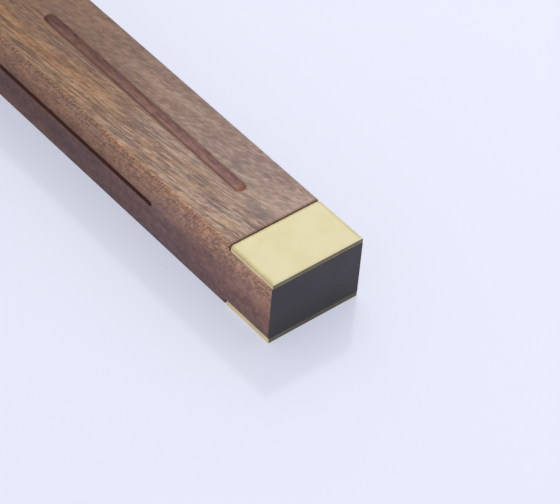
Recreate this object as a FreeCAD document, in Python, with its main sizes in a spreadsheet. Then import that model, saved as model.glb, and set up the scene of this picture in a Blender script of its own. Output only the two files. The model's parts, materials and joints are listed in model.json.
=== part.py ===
import FreeCAD, Part
import math
import os
import Sketcher
from FreeCAD import Placement, Rotation, Vector

# A leather stitching pony: a hardwood beam with a cross foot, a swivelling and tilting brass yoke, and a
# head of two hardwood jaws that a stud, a spring and a fluted knob close on the work.
#
# Millimetres. +Z is up, +X runs along the beam towards its tail, and the origin is in the middle of the
# beam's underside.

# ---------------------------------------------------------------------------------------------------------
# Driving sizes
# ---------------------------------------------------------------------------------------------------------

SIZES = {
    # hardwood stock, used for the beam, the foot and the arms
    "bar_width": 30,
    "bar_height": 21,
    "arris_round": 0.6,
    "base_arris_round": 0.2,
    "beam_length": 300,
    "foot_length": 180,
    "head_offset": 70,
    # brass plates inlaid at each end of the stock, and the sealed end grain between them
    "plate_length": 18,
    "plate_thickness": 1.6,
    "plate_bevel_width": 1,
    "plate_bevel_drop": 0.3,
    "plate_corner": 1.2,
    "plate_seam": 0.12,
    "end_facing": 0.4,
    # needle groove in the top of the tail, and the thread slit in its side
    "groove_width": 3.6,
    "groove_depth": 1.6,
    "groove_offset": 1,
    "groove_from_end": 32,
    "groove_length": 87,
    "slit_height": 1.7,
    "slit_depth": 6,
    "slit_from_end": 50,
    "slit_length": 69,
    # half-lap between the beam and the foot
    "lap_clearance": 0.1,
    "lap_screw_spacing": 22,
    "lap_screw_length": 16,
    # countersunk wood screws
    "screw_shank": 3.5,
    "screw_head": 6.5,
    "screw_clearance": 0.2,
    # swivel between the beam and the yoke
    "swivel_plate_diameter": 40,
    "swivel_plate_thickness": 2,
    "swivel_screw_spacing": 22,
    "swivel_screw_length": 10,
    "friction_washer_thickness": 1,
    "swivel_play": 0.1,
    "swivel_bolt_diameter": 8,
    "swivel_head_diameter": 14,
    "swivel_head_height": 3,
    "swivel_head_play": 0.3,
    "bolt_hole_clearance": 0.2,
    "nut_pocket_diameter": 22,
    "nut_pocket_depth": 8.5,
    "swivel_washer_diameter": 20,
    "swivel_washer_thickness": 1.5,
    "swivel_nut_across": 13,
    "swivel_nut_height": 5,
    "swivel_bolt_inset": 1,
    "swivel_socket_across": 5,
    "swivel_socket_depth": 2,
    # yoke and tilt pivot
    "yoke_diameter": 40,
    "yoke_floor": 5,
    "ear_thickness": 4,
    "ear_radius": 9,
    "ear_root_round": 1.5,
    "running_gap": 0.3,
    "block_floor_gap": 1.5,
    "tilt_bolt_diameter": 6,
    "tilt_bolt_clearance": 0.12,
    "tilt_head_across": 10,
    "tilt_head_height": 4,
    "tilt_washer_diameter": 16,
    "tilt_washer_thickness": 1.5,
    "tilt_knob_diameter": 20,
    "tilt_knob_height": 11,
    "tilt_knob_hub": 13,
    "tilt_knob_hub_height": 3,
    "tilt_knob_flute": 1.6,
    # head: block, arms and jaws
    "block_thickness": 12,
    "block_above_hinge": 14,
    "block_screw_length": 20,
    "block_screw_low": 20,
    "block_screw_high": 36,
    "arm_ear_gap": 2.5,
    "arm_thickness": 14,
    "arm_foot_chamfer": 3,
    "head_height": 190,
    "jaw_face_height": 30,
    "jaw_slope": 10,
    "jaw_upper_round": 6,
    "jaw_lower_round": 12,
    "jaw_rest_gap": 0.4,
    "pad_thickness": 1.8,
    "pad_corner": 2,
    "pad_margin": 1,
    # hinge of the moving arm
    "cheek_thickness": 2.5,
    "cheek_boss": 8,
    "cheek_yoke_gap": 2,
    "cheek_height": 34,
    "cheek_inset": 2.5,
    "cheek_round": 5,
    "cheek_top": 10,
    "cheek_sweep": 10,
    "cheek_chamfer": 0.4,
    "cheek_screw_length": 12,
    "cheek_screw_rise": 18,
    "hinge_pin_diameter": 6,
    "hinge_pin_clearance": 0.12,
    "hinge_pin_proud": 1,
    # clamp: stud, spring, slot, domed washer and knob
    "stud_diameter": 8,
    "stud_rise": 60,
    "stud_end": 40,
    "stud_chamfer": 0.8,
    "stud_hole_clearance": 0.4,
    "slot_width": 9,
    "slot_height": 12,
    "escutcheon_width": 24,
    "escutcheon_height": 36,
    "escutcheon_thickness": 2,
    "escutcheon_screw_spacing": 26,
    "escutcheon_screw_length": 9,
    "small_screw_shank": 2.4,
    "small_screw_head": 4.6,
    "spring_radius": 7.5,
    "spring_wire": 1.4,
    "spring_turns": 3.5,
    "spring_end_gap": 0.1,
    "stud_washer_diameter": 18,
    "stud_washer_thickness": 1.5,
    "cap_nut_across": 13,
    "cap_nut_hex_height": 6.5,
    "cap_nut_dome": 5.6,
    "cap_nut_wall": 2,
    "clamp_washer_diameter": 22,
    "clamp_washer_thickness": 3.5,
    "clamp_washer_dome": 40,
    "clamp_washer_gap": 0.3,
    "knob_clearance": 0.16,
    "clamp_knob_diameter": 28,
    "clamp_knob_height": 12,
    "clamp_knob_hub": 16,
    "clamp_knob_hub_height": 3,
    "clamp_knob_flute": 2,
    "knob_round": 1.2,
    "knob_flutes": 12,
    # how far a cutter runs past an open face
    "overcut": 1,
}


class Size:
    """A length worked out from the sheet: its value now, and the expression that gives it again."""

    def __init__(self, value, text):
        self.value = float(value)
        self.text = text

    def __add__(self, other):
        other = as_size(other)
        return Size(self.value + other.value, f"({self.text} + {other.text})")

    def __sub__(self, other):
        other = as_size(other)
        return Size(self.value - other.value, f"({self.text} - {other.text})")

    def __mul__(self, other):
        other = as_size(other)
        return Size(self.value * other.value, f"({self.text} * {other.text})")

    def __truediv__(self, other):
        other = as_size(other)
        return Size(self.value / other.value, f"({self.text} / {other.text})")

    def __radd__(self, other):
        return as_size(other) + self

    def __rsub__(self, other):
        return as_size(other) - self

    def __rmul__(self, other):
        return as_size(other) * self

    def __neg__(self):
        return Size(-self.value, f"(0 - {self.text})")


def as_size(number):
    return number if isinstance(number, Size) else Size(number, repr(float(number)))


class Sheet:
    """The spreadsheet of driving sizes, read by name: sheet.bar_width is a Size."""

    def __init__(self, document, sizes):
        self.cells = document.addObject("Spreadsheet::Sheet", "Sizes")
        for row, (name, value) in enumerate(sizes.items(), start=1):
            self.cells.set(f"A{row}", name)
            self.cells.set(f"B{row}", str(value))
            self.cells.setAlias(f"B{row}", name)
            setattr(self, name, Size(value, f"Sizes.{name}"))


doc = FreeCAD.newDocument("stitching_pony")
size = Sheet(doc, SIZES)
doc.recompute()
nodes = []

# ---------------------------------------------------------------------------------------------------------
# Helpers: bodies, sketches and features whose sizes are bound to the sheet
# ---------------------------------------------------------------------------------------------------------

UPRIGHT = Rotation()
FULL_TURN = 360
COUNTERSINK_ANGLE = 90
HALF_FLAT_ANGLE = math.pi / 6  # half of the angle that one flat of a hexagon takes up
SAME_PLACE = 0.001


def facing(x_direction, z_direction):
    """The rotation that turns a body's own X and Z to these directions."""
    x_axis = Vector(*x_direction)
    z_axis = Vector(*z_direction)
    return Rotation(x_axis, z_axis.cross(x_axis), z_axis)


TO_PLUS_Y = facing((1, 0, 0), (0, 1, 0))
TO_MINUS_Y = facing((1, 0, 0), (0, -1, 0))


def bind(thing, target, amount):
    """Ties a property to the sheet."""
    thing.setExpression(target, as_size(amount).text)


def place(thing, x, y, z, rotation):
    spot = [as_size(amount) for amount in (x, y, z)]
    thing.Placement = Placement(Vector(*(s.value for s in spot)), rotation)
    for letter, amount in zip("xyz", spot):
        bind(thing, f"Placement.Base.{letter}", amount)


def new_body(name, x=0, y=0, z=0, rotation=UPRIGHT, kept=True):
    """A body at its place, listed as a node unless it is one of a group."""
    body = doc.addObject("PartDesign::Body", name)
    body.Label = name
    place(body, x, y, z, rotation)
    if kept:
        nodes.append(body)
    return body


def new_sketch(body, plane, across=0, up=0, out=0):
    """An empty sketch on an origin plane, moved by across and up in the plane and out along its normal."""
    sketch = body.newObject("Sketcher::SketchObject", f"{body.Name}_sketch")
    origin = [item for item in body.Origin.OriginFeatures if item.Role == plane]
    sketch.AttachmentSupport = [(origin[0], "")]
    sketch.MapMode = "FlatFace"
    shift = [as_size(amount) for amount in (across, up, out)]
    sketch.AttachmentOffset = Placement(Vector(*(s.value for s in shift)), UPRIGHT)
    for letter, amount in zip("xyz", shift):
        bind(sketch, f"AttachmentOffset.Base.{letter}", amount)
    return sketch


def fix(sketch, kind, geometry, point, amount):
    """Holds one coordinate of a sketch point at its distance from the origin."""
    amount = as_size(amount)
    constraint = Sketcher.Constraint(kind, -1, 1, geometry, point, amount.value)
    bind(sketch, f"Constraints[{sketch.addConstraint(constraint)}]", amount)


def draw(sketch, corners):
    """A closed outline through corners (x, y). A corner (x, y, centre_x, centre_y, turn) starts an arc
    about that centre, turning anticlockwise for +1 and clockwise for -1."""
    points = [(as_size(c[0]), as_size(c[1])) for c in corners]
    ends = []
    for index, corner in enumerate(corners):
        start = points[index]
        finish = points[(index + 1) % len(points)]
        here = Vector(start[0].value, start[1].value, 0)
        there = Vector(finish[0].value, finish[1].value, 0)
        if len(corner) == 2:
            number = sketch.addGeometry(Part.LineSegment(here, there))
            ends.append((number, 1, 2))
            continue
        centre = (as_size(corner[2]), as_size(corner[3]))
        middle = Vector(centre[0].value, centre[1].value, 0)
        first, last = (here, there) if corner[4] > 0 else (there, here)
        angles = [math.atan2(end.y - middle.y, end.x - middle.x) for end in (first, last)]
        if angles[1] <= angles[0]:
            angles[1] += 2 * math.pi
        circle = Part.Circle(middle, Vector(0, 0, 1), (here - middle).Length)
        number = sketch.addGeometry(Part.ArcOfCircle(circle, *angles))
        ends.append((number, 1, 2) if corner[4] > 0 else (number, 2, 1))
        wide = abs(there.x - here.x) > abs(there.y - here.y)
        fix(sketch, "DistanceY" if wide else "DistanceX", number, 3, centre[1] if wide else centre[0])
    for index, (number, begin, end) in enumerate(ends):
        after = ends[(index + 1) % len(ends)]
        sketch.addConstraint(Sketcher.Constraint("Coincident", number, end, after[0], after[1]))
        fix(sketch, "DistanceX", number, begin, points[index][0])
        fix(sketch, "DistanceY", number, begin, points[index][1])
    return sketch


def rectangle(sketch, left, low, right, high):
    return draw(sketch, [(left, low), (right, low), (right, high), (left, high)])


def circle(sketch, x, y, diameter):
    x, y, diameter = as_size(x), as_size(y), as_size(diameter)
    round_edge = Part.Circle(Vector(x.value, y.value, 0), Vector(0, 0, 1), diameter.value / 2)
    number = sketch.addGeometry(round_edge)
    fix(sketch, "DistanceX", number, 3, x)
    fix(sketch, "DistanceY", number, 3, y)
    constraint = sketch.addConstraint(Sketcher.Constraint("Diameter", number, diameter.value))
    bind(sketch, f"Constraints[{constraint}]", diameter)
    return sketch


def slot(sketch, x, y, length, width, upright=False):
    """A round-ended slot about (x, y), its length taken over both ends."""
    reach = (as_size(length) - width) / 2
    half = as_size(width) / 2
    if upright:
        return draw(sketch, [
            (x + half, y - reach), (x + half, y + reach, x, y + reach, 1),
            (x - half, y + reach), (x - half, y - reach, x, y - reach, 1)])
    return draw(sketch, [
        (x - reach, y - half), (x + reach, y - half, x + reach, y, 1),
        (x + reach, y + half), (x - reach, y + half, x - reach, y, 1)])


def hexagon(sketch, across):
    """A hexagon with two flats parallel to the sketch's X."""
    half = as_size(across) / 2
    corner = half / math.cos(HALF_FLAT_ANGLE)
    side = corner / 2
    return draw(sketch, [
        (corner, 0), (side, half), (-side, half), (-corner, 0), (-side, -half), (side, -half)])


def finish_feature(feature):
    doc.recompute()
    return feature


def pad(sketch, length, middle=False, reverse=False):
    body = sketch.getParentGeoFeatureGroup()
    feature = body.newObject("PartDesign::Pad", f"{body.Name}_pad")
    feature.Profile = sketch
    feature.Midplane = middle
    feature.Reversed = reverse
    bind(feature, "Length", length)
    return finish_feature(feature)


def take_away(feature):
    """Recomputes a cut and makes sure that it took material."""
    finish_feature(feature)
    if feature.Shape.Volume >= feature.BaseFeature.Shape.Volume:
        raise ValueError(f"{feature.Name} cuts nothing")
    return feature


def pocket(sketch, depth=None, reverse=False):
    """Cuts to a depth against the sketch's normal, or right through both ways when no depth is given."""
    body = sketch.getParentGeoFeatureGroup()
    doc.recompute()
    feature = body.newObject("PartDesign::Pocket", f"{body.Name}_pocket")
    feature.Profile = sketch
    feature.Reversed = reverse
    if depth is None:
        feature.Type = "ThroughAll"
        feature.Midplane = True
    else:
        bind(feature, "Length", depth)
    return take_away(feature)


def turned(sketch, axis="V_Axis"):
    body = sketch.getParentGeoFeatureGroup()
    feature = body.newObject("PartDesign::Revolution", f"{body.Name}_turned")
    feature.Profile = sketch
    feature.ReferenceAxis = (sketch, [axis])
    feature.Angle = FULL_TURN
    return finish_feature(feature)


def turned_cut(sketch, axis="V_Axis"):
    body = sketch.getParentGeoFeatureGroup()
    doc.recompute()
    feature = body.newObject("PartDesign::Groove", f"{body.Name}_groove")
    feature.Profile = sketch
    feature.ReferenceAxis = (sketch, [axis])
    feature.Angle = FULL_TURN
    return take_away(feature)


def screw_holes(sketch, shank, head, depth, reverse=False):
    """Countersunk holes at the sketch's circles, with clearance round the shank and under the head."""
    body = sketch.getParentGeoFeatureGroup()
    doc.recompute()
    feature = body.newObject("PartDesign::Hole", f"{body.Name}_holes")
    feature.Profile = sketch
    doc.recompute()
    feature.ThreadType = "None"
    feature.DepthType = "Dimension"
    feature.DrillPoint = "Flat"
    feature.HoleCutType = "Countersink"
    feature.HoleCutCustomValues = True
    feature.HoleCutCountersinkAngle = COUNTERSINK_ANGLE
    feature.Reversed = reverse
    bind(feature, "Diameter", shank + size.screw_clearance)
    bind(feature, "HoleCutDiameter", head + size.screw_clearance)
    bind(feature, "Depth", depth)
    return take_away(feature)


def edges(feature, along=None, x=None, y=None, z=None):
    """Names of the edges that run straight along an axis, or lie wholly in the planes given."""
    planes = [(letter, as_size(amount).value)
              for letter, amount in zip("XYZ", (x, y, z)) if amount is not None]
    found = []
    for number, edge in enumerate(feature.Shape.Edges, start=1):
        box = edge.BoundBox
        spans = {letter: getattr(box, f"{letter}Length") for letter in "XYZ"}
        if along and any((spans[letter] > SAME_PLACE) != (letter == along) for letter in "XYZ"):
            continue
        lows = [abs(getattr(box, f"{letter}Min") - amount) for letter, amount in planes]
        highs = [abs(getattr(box, f"{letter}Max") - amount) for letter, amount in planes]
        if max(lows + highs, default=0) < SAME_PLACE:
            found.append(f"Edge{number}")
    return found


def soften(kind, feature, names, amount):
    """A PartDesign Fillet or Chamfer on the named edges of a feature."""
    body = feature.getParentGeoFeatureGroup()
    result = body.newObject(f"PartDesign::{kind}", f"{body.Name}_{kind.lower()}")
    result.Base = (feature, sorted(set(names)))
    bind(result, "Radius" if kind == "Fillet" else "Size", amount)
    return finish_feature(result)


def around(feature, count):
    """Repeats a cut round the body's own Z axis."""
    body = feature.getParentGeoFeatureGroup()
    pattern = body.newObject("PartDesign::PolarPattern", f"{body.Name}_pattern")
    pattern.Originals = [feature]
    pattern.Axis = (feature.Profile[0], ["N_Axis"])
    pattern.Angle = FULL_TURN
    bind(pattern, "Occurrences", count)
    body.Tip = pattern
    return finish_feature(pattern)


def group(name, bodies):
    """Identical fasteners, kept as one node of separate solids."""
    compound = doc.addObject("Part::Compound", name)
    compound.Label = name
    compound.Links = bodies
    nodes.append(compound)
    return finish_feature(compound)


def screw(name, shank, head, length, spot, rotation):
    """A countersunk wood screw: its head's flat top at the spot, pointing along its own -Z."""
    body = new_body(name, *spot, rotation, kept=False)
    neck = (head - shank) / 2
    tip = length - shank
    profile = new_sketch(body, "XZ_Plane")
    draw(profile, [(0, 0), (0, -length), (shank / 2, -tip), (shank / 2, -neck), (head / 2, 0)])
    turned(profile)
    return body


# ---------------------------------------------------------------------------------------------------------
# Places that several pieces share
# ---------------------------------------------------------------------------------------------------------

beam_end = size.beam_length / 2
foot_end = size.foot_length / 2
half_width = size.bar_width / 2
lap_level = size.bar_height / 2
head_x = -size.head_offset

plate_top = size.bar_height + size.swivel_plate_thickness
yoke_bottom = plate_top + size.friction_washer_thickness + size.swivel_play
pivot_rise = half_width + size.block_floor_gap
pivot_z = yoke_bottom + size.yoke_floor + pivot_rise
ear_inner = size.block_thickness / 2 + size.running_gap
ear_outer = ear_inner + size.ear_thickness

# heights in the head are above the tilt pivot
hinge_rise = size.yoke_diameter / 2 + size.cheek_yoke_gap + size.cheek_boss
stud_height = hinge_rise + size.stud_rise
tip_height = size.head_height
wood_tip = tip_height - size.end_facing
arm_foot = size.ear_radius + size.arm_ear_gap
plate_foot = tip_height - size.plate_length - size.plate_seam

# distances from the head's middle plane
fixed_inner = -(size.block_thickness / 2)
fixed_outer = fixed_inner - size.arm_thickness
moving_inner = size.block_thickness / 2 + size.running_gap
moving_outer = moving_inner + size.arm_thickness
hinge_y = (moving_inner + moving_outer) / 2
jaw_face = (size.jaw_rest_gap / 2) + size.pad_thickness
moving_width = size.bar_width - 2 * size.running_gap

# ---------------------------------------------------------------------------------------------------------
# Brass end plates and sealed ends
# ---------------------------------------------------------------------------------------------------------


def end_plate(name, width, x, y, z, rotation, bevelled=True):
    """A brass plate let in flush: its outer face at its own z = 0 and its front edge at its own x = 0. A
    shallow bevel runs round its face, but not under the stock, where the plate bears on the bench."""
    body = new_body(name, x, y, z, rotation)
    outline = new_sketch(body, "XY_Plane")
    rectangle(outline, -size.plate_length, -width / 2, 0, width / 2)
    blank = pad(outline, size.plate_thickness, reverse=True)
    back_corners = edges(blank, along="Z", x=-size.plate_length)
    rounded = soften("Fillet", blank, back_corners, size.plate_corner)
    if bevelled:
        front = shallow_bevel(rounded, edges(rounded, x=0, z=0), False)
        sides = edges(front, y=width / 2, z=0) + edges(front, y=-width / 2, z=0)
        shallow_bevel(front, sides, True)


def shallow_bevel(feature, names, flipped):
    """A bevel wider on the plate's face than it is deep. Flipped changes which side gets the width."""
    bevel = soften("Chamfer", feature, names, size.plate_bevel_width)
    bevel.ChamferType = "Two distances"
    bevel.FlipDirection = flipped
    bind(bevel, "Size2", size.plate_bevel_drop)
    return finish_feature(bevel)


def end_face(name, low, high, width, x, y, z, rotation):
    """The thin black seal on the end grain, between low and high, facing its own +X from x = 0."""
    body = new_body(name, x, y, z, rotation)
    outline = new_sketch(body, "YZ_Plane")
    rectangle(outline, -width / 2, low, width / 2, high)
    pad(outline, size.end_facing, reverse=True)


def stock_ends(name, x, y, rotation):
    """Top and bottom plates and the black end face at one end of the beam or the foot."""
    outward = rotation.multVec(Vector(1, 0, 0))
    underneath = facing(tuple(outward), (0, 0, -1))
    end_plate(f"{name}_plate_top", size.bar_width, x, y, size.bar_height, rotation)
    end_plate(f"{name}_plate_bottom", size.bar_width, x, y, 0, underneath, bevelled=False)
    low = size.plate_thickness
    high = size.bar_height - size.plate_thickness
    end_face(f"{name}_end_face", low, high, size.bar_width, x, y, 0, rotation)


# ---------------------------------------------------------------------------------------------------------
# Beam and cross foot
# ---------------------------------------------------------------------------------------------------------


def stock(name, end, rotation):
    """A bar of the stock, standing on z = 0 about the origin, rebated at both ends for its plates."""
    body = new_body(name, rotation=rotation)
    wood_end = end - size.end_facing
    shoulder = end - size.plate_length - size.plate_seam
    low = size.plate_thickness
    high = size.bar_height - size.plate_thickness
    outline = new_sketch(body, "XZ_Plane")
    draw(outline, [
        (-shoulder, 0), (shoulder, 0), (shoulder, low), (wood_end, low),
        (wood_end, high), (shoulder, high), (shoulder, size.bar_height), (-shoulder, size.bar_height),
        (-shoulder, high), (-wood_end, high), (-wood_end, low), (-shoulder, low)])
    bar = pad(outline, size.bar_width, middle=True)
    upper = soften("Fillet", bar, edges(bar, along="X", z=size.bar_height), size.arris_round)
    soften("Fillet", upper, edges(upper, along="X", z=0), size.base_arris_round)
    return body


def make_beam():
    body = stock("beam", beam_end, UPRIGHT)
    # the cross foot is let in from below
    notch = new_sketch(body, "XZ_Plane", across=head_x)
    reach = half_width + size.lap_clearance
    rectangle(notch, -reach, -size.overcut, reach, lap_level)
    pocket(notch)
    # round-bottomed groove with ball ends, a little off the middle: a capsule turned about its own axis
    width = size.groove_width
    depth = size.groove_depth
    radius = (width * width / 4 + depth * depth) / (2 * depth)
    centre = beam_end - size.groove_from_end - size.groove_length / 2
    reach = (size.groove_length - width) / 2
    capsule = new_sketch(body, "XZ_Plane", across=centre, up=size.bar_height + radius - depth,
                         out=-size.groove_offset)
    draw(capsule, [
        (-reach - radius, 0, -reach, 0, 1), (-reach, -radius),
        (reach, -radius, reach, 0, 1), (reach + radius, 0)])
    turned_cut(capsule, "H_Axis")
    # thread slit, from the -Y side
    centre = beam_end - size.slit_from_end - size.slit_length / 2
    opening = new_sketch(body, "XZ_Plane", across=centre, up=lap_level, out=half_width)
    slot(opening, as_size(0), as_size(0), size.slit_length, size.slit_height)
    pocket(opening, size.slit_depth)
    # swivel bolt, and the screws of the swivel plate and of the lap
    bolt = new_sketch(body, "XY_Plane", across=head_x)
    circle(bolt, 0, 0, size.swivel_bolt_diameter + size.bolt_hole_clearance)
    pocket(bolt)
    pilot = new_sketch(body, "XY_Plane", across=head_x, out=size.bar_height)
    for x, y in swivel_screw_spots():
        circle(pilot, x, y, size.screw_shank + size.screw_clearance)
    depth = size.swivel_screw_length - size.swivel_plate_thickness + size.screw_clearance
    pocket(pilot, depth)
    pilot = new_sketch(body, "XY_Plane", across=head_x, out=lap_level)
    for x, y in lap_screw_spots():
        circle(pilot, x, y, size.screw_shank + size.screw_clearance)
    pocket(pilot, size.lap_screw_length - lap_level + size.screw_clearance, reverse=True)


def swivel_screw_spots():
    reach = size.swivel_screw_spacing / 2
    return [(reach, as_size(0)), (-reach, as_size(0))]


def lap_screw_spots():
    reach = size.lap_screw_spacing / 2
    return [(reach, reach), (-reach, reach), (-reach, -reach), (reach, -reach)]


def make_cross_foot():
    """Lies across the beam at the head: its own X runs along +Y."""
    body = stock("cross_foot", foot_end, facing((0, 1, 0), (0, 0, 1)))
    bind(body, "Placement.Base.x", head_x)
    notch = new_sketch(body, "XZ_Plane")
    reach = half_width + size.lap_clearance
    rectangle(notch, -reach, lap_level, reach, size.bar_height + size.overcut)
    pocket(notch)
    bolt = new_sketch(body, "XY_Plane")
    circle(bolt, 0, 0, size.swivel_bolt_diameter + size.bolt_hole_clearance)
    pocket(bolt)
    recess = new_sketch(body, "XY_Plane")
    circle(recess, 0, 0, size.nut_pocket_diameter)
    pocket(recess, size.nut_pocket_depth, reverse=True)
    heads = new_sketch(body, "XY_Plane")
    for x, y in lap_screw_spots():
        circle(heads, x, y, size.screw_shank)
    screw_holes(heads, size.screw_shank, size.screw_head, lap_level, reverse=True)


def make_lap_screws():
    upwards = facing((1, 0, 0), (0, 0, -1))
    group("lap_screws", [
        screw(f"lap_screw_{number}", size.screw_shank, size.screw_head, size.lap_screw_length,
              (head_x + x, y, 0), upwards)
        for number, (x, y) in enumerate(lap_screw_spots(), start=1)])


# ---------------------------------------------------------------------------------------------------------
# Swivel
# ---------------------------------------------------------------------------------------------------------


def disc(name, outer, bore, thickness, x, y, z, rotation=UPRIGHT):
    """A flat washer lying on its own z = 0."""
    body = new_body(name, x, y, z, rotation)
    outline = new_sketch(body, "XY_Plane")
    circle(outline, 0, 0, outer)
    circle(outline, 0, 0, bore)
    pad(outline, thickness)
    return body


def hex_nut(name, across, bore, height, x, y, z, rotation=UPRIGHT):
    """A hexagon nut or bolt head on its own z = 0, its outer corners turned off at 30 degrees."""
    body = new_body(name, x, y, z, rotation)
    outline = new_sketch(body, "XY_Plane")
    hexagon(outline, across)
    if bore is not None:
        circle(outline, 0, 0, bore)
    pad(outline, height)
    turn_off_corners(body, across, height)
    return body


def turn_off_corners(body, across, height):
    """Bevels the corners of a hexagon at its outer end."""
    flat = across / 2
    corner = flat / math.cos(HALF_FLAT_ANGLE)
    slope = math.tan(HALF_FLAT_ANGLE)
    drop = (corner - flat) * slope
    bevel = new_sketch(body, "XZ_Plane")
    draw(bevel, [(flat, height), (corner + flat, height - drop - flat * slope),
                 (corner + flat, height + flat), (flat, height + flat)])
    turned_cut(bevel)


def make_swivel():
    bore = size.swivel_bolt_diameter + size.bolt_hole_clearance
    plate = disc("swivel_plate", size.swivel_plate_diameter, bore, size.swivel_plate_thickness,
                 head_x, 0, size.bar_height)
    heads = new_sketch(plate, "XY_Plane", out=size.swivel_plate_thickness)
    for x, y in swivel_screw_spots():
        circle(heads, x, y, size.screw_shank)
    screw_holes(heads, size.screw_shank, size.screw_head, size.swivel_plate_thickness)
    group("swivel_plate_screws", [
        screw(f"swivel_plate_screw_{number}", size.screw_shank, size.screw_head, size.swivel_screw_length,
              (head_x + x, y, plate_top), UPRIGHT)
        for number, (x, y) in enumerate(swivel_screw_spots(), start=1)])
    disc("friction_washer", size.swivel_plate_diameter, bore, size.friction_washer_thickness,
         head_x, 0, plate_top)
    # bolt: cheese head sunk in the yoke's floor, end just inside the foot's underside
    head_top = yoke_bottom + size.yoke_floor
    bolt = new_body("swivel_bolt", head_x, 0, head_top)
    end = head_top - size.swivel_bolt_inset
    shank = size.swivel_bolt_diameter / 2
    head = size.swivel_head_diameter / 2
    profile = new_sketch(bolt, "XZ_Plane")
    draw(profile, [(0, 0), (0, -end), (shank - size.stud_chamfer, -end), (shank, size.stud_chamfer - end),
                   (shank, -size.swivel_head_height), (head, -size.swivel_head_height),
                   (head, -size.stud_chamfer), (head - size.stud_chamfer, 0)])
    turned(profile)
    socket = new_sketch(bolt, "XY_Plane")
    hexagon(socket, size.swivel_socket_across)
    pocket(socket, size.swivel_socket_depth)
    # washer and thin lock nut up in the foot's pocket
    downwards = facing((1, 0, 0), (0, 0, -1))
    disc("swivel_washer", size.swivel_washer_diameter, bore, size.swivel_washer_thickness,
         head_x, 0, size.nut_pocket_depth, downwards)
    hex_nut("swivel_nut", size.swivel_nut_across, bore, size.swivel_nut_height,
            head_x, 0, size.nut_pocket_depth - size.swivel_washer_thickness, downwards)


# ---------------------------------------------------------------------------------------------------------
# Yoke and tilt pivot
# ---------------------------------------------------------------------------------------------------------


def make_yoke():
    body = new_body("yoke", head_x, 0, yoke_bottom)
    floor = new_sketch(body, "XY_Plane")
    circle(floor, 0, 0, size.yoke_diameter)
    pad(floor, size.yoke_floor)
    pivot = size.yoke_floor + pivot_rise
    radius = size.ear_radius
    ears = new_sketch(body, "XZ_Plane")
    draw(ears, [(-radius, 0), (radius, 0), (radius, pivot, 0, pivot, 1), (-radius, pivot)])
    both = pad(ears, 2 * ear_outer, middle=True)
    roots = edges(both, along="X", y=ear_outer, z=size.yoke_floor)
    roots += edges(both, along="X", y=-ear_outer, z=size.yoke_floor)
    soften("Fillet", both, roots, size.ear_root_round)
    gap = new_sketch(body, "YZ_Plane")
    rectangle(gap, -ear_inner, size.yoke_floor, ear_inner, pivot + radius + size.overcut)
    pocket(gap)
    hole = new_sketch(body, "XZ_Plane")
    circle(hole, 0, pivot, size.tilt_bolt_diameter + size.tilt_bolt_clearance)
    pocket(hole)
    bolt = new_sketch(body, "XY_Plane")
    circle(bolt, 0, 0, size.swivel_bolt_diameter + size.bolt_hole_clearance)
    pocket(bolt)
    sink = new_sketch(body, "XY_Plane", out=size.yoke_floor)
    circle(sink, 0, 0, size.swivel_head_diameter + 2 * size.swivel_head_play)
    pocket(sink, size.swivel_head_height + size.swivel_play)


def fluted_knob(name, diameter, height, hub, hub_height, bore, flute, x, y, z, rotation):
    """A turned brass knob on its own z = 0: a plain hub, then a wider grip with flutes round its rim."""
    body = new_body(name, x, y, z, rotation)
    rim = as_size(diameter) / 2
    profile = new_sketch(body, "XZ_Plane")
    inner = as_size(bore) / 2
    edge = size.knob_round
    draw(profile, [
        (inner, 0), (hub / 2, 0), (hub / 2, hub_height), (rim - edge, hub_height),
        (rim, hub_height + edge), (rim, height - edge), (rim - edge, height), (inner, height)])
    turned(profile)
    # each flute is cut by a bar two flute depths across, set half a depth outside the rim
    cutter = new_sketch(body, "XY_Plane")
    circle(cutter, rim + flute / 2, 0, 2 * flute)
    around(pocket(cutter), size.knob_flutes)
    return body


def make_tilt():
    bore = size.tilt_bolt_diameter + size.tilt_bolt_clearance
    bolt = hex_nut("tilt_bolt", size.tilt_head_across, None, size.tilt_head_height,
                   head_x, -ear_outer, pivot_z, TO_MINUS_Y)
    shank = new_sketch(bolt, "XY_Plane")
    circle(shank, 0, 0, size.tilt_bolt_diameter)
    reach = 2 * ear_outer + size.tilt_washer_thickness + size.swivel_play + size.tilt_knob_height
    pad(shank, reach, reverse=True)
    disc("tilt_washer", size.tilt_washer_diameter, bore, size.tilt_washer_thickness,
         head_x, ear_outer, pivot_z, TO_PLUS_Y)
    knob_y = ear_outer + size.tilt_washer_thickness + size.swivel_play
    fluted_knob("tilt_knob", size.tilt_knob_diameter, size.tilt_knob_height, size.tilt_knob_hub,
                size.tilt_knob_hub_height, size.tilt_bolt_diameter + size.knob_clearance,
                size.tilt_knob_flute, head_x, knob_y, pivot_z, TO_PLUS_Y)


# ---------------------------------------------------------------------------------------------------------
# Head: block and fixed arm
# ---------------------------------------------------------------------------------------------------------


def head_body(name, x=0, y=0, z=0, rotation=UPRIGHT):
    """A body of the head, placed from the tilt pivot."""
    return new_body(name, head_x + x, y, pivot_z + z, rotation)


def cheek_screw_spots():
    """(y, z) of the screws through each cheek: two into the fixed arm and one into the block."""
    arm_middle = (fixed_inner + fixed_outer) / 2
    upper = hinge_rise + size.cheek_screw_rise
    return [(arm_middle, hinge_rise), (arm_middle, upper), (as_size(0), hinge_rise)]


def block_screw_heights():
    return [size.block_screw_low, size.block_screw_high]


def side_pilots(body, spots):
    """Pilot holes for the cheek screws, from both X sides."""
    depth = size.cheek_screw_length - size.cheek_thickness + size.screw_clearance
    for side, reverse in ((half_width, False), (-half_width, True)):
        pilot = new_sketch(body, "YZ_Plane", out=side)
        for y, z in spots:
            circle(pilot, y, z, size.screw_shank + size.screw_clearance)
        pocket(pilot, depth, reverse=reverse)


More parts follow.
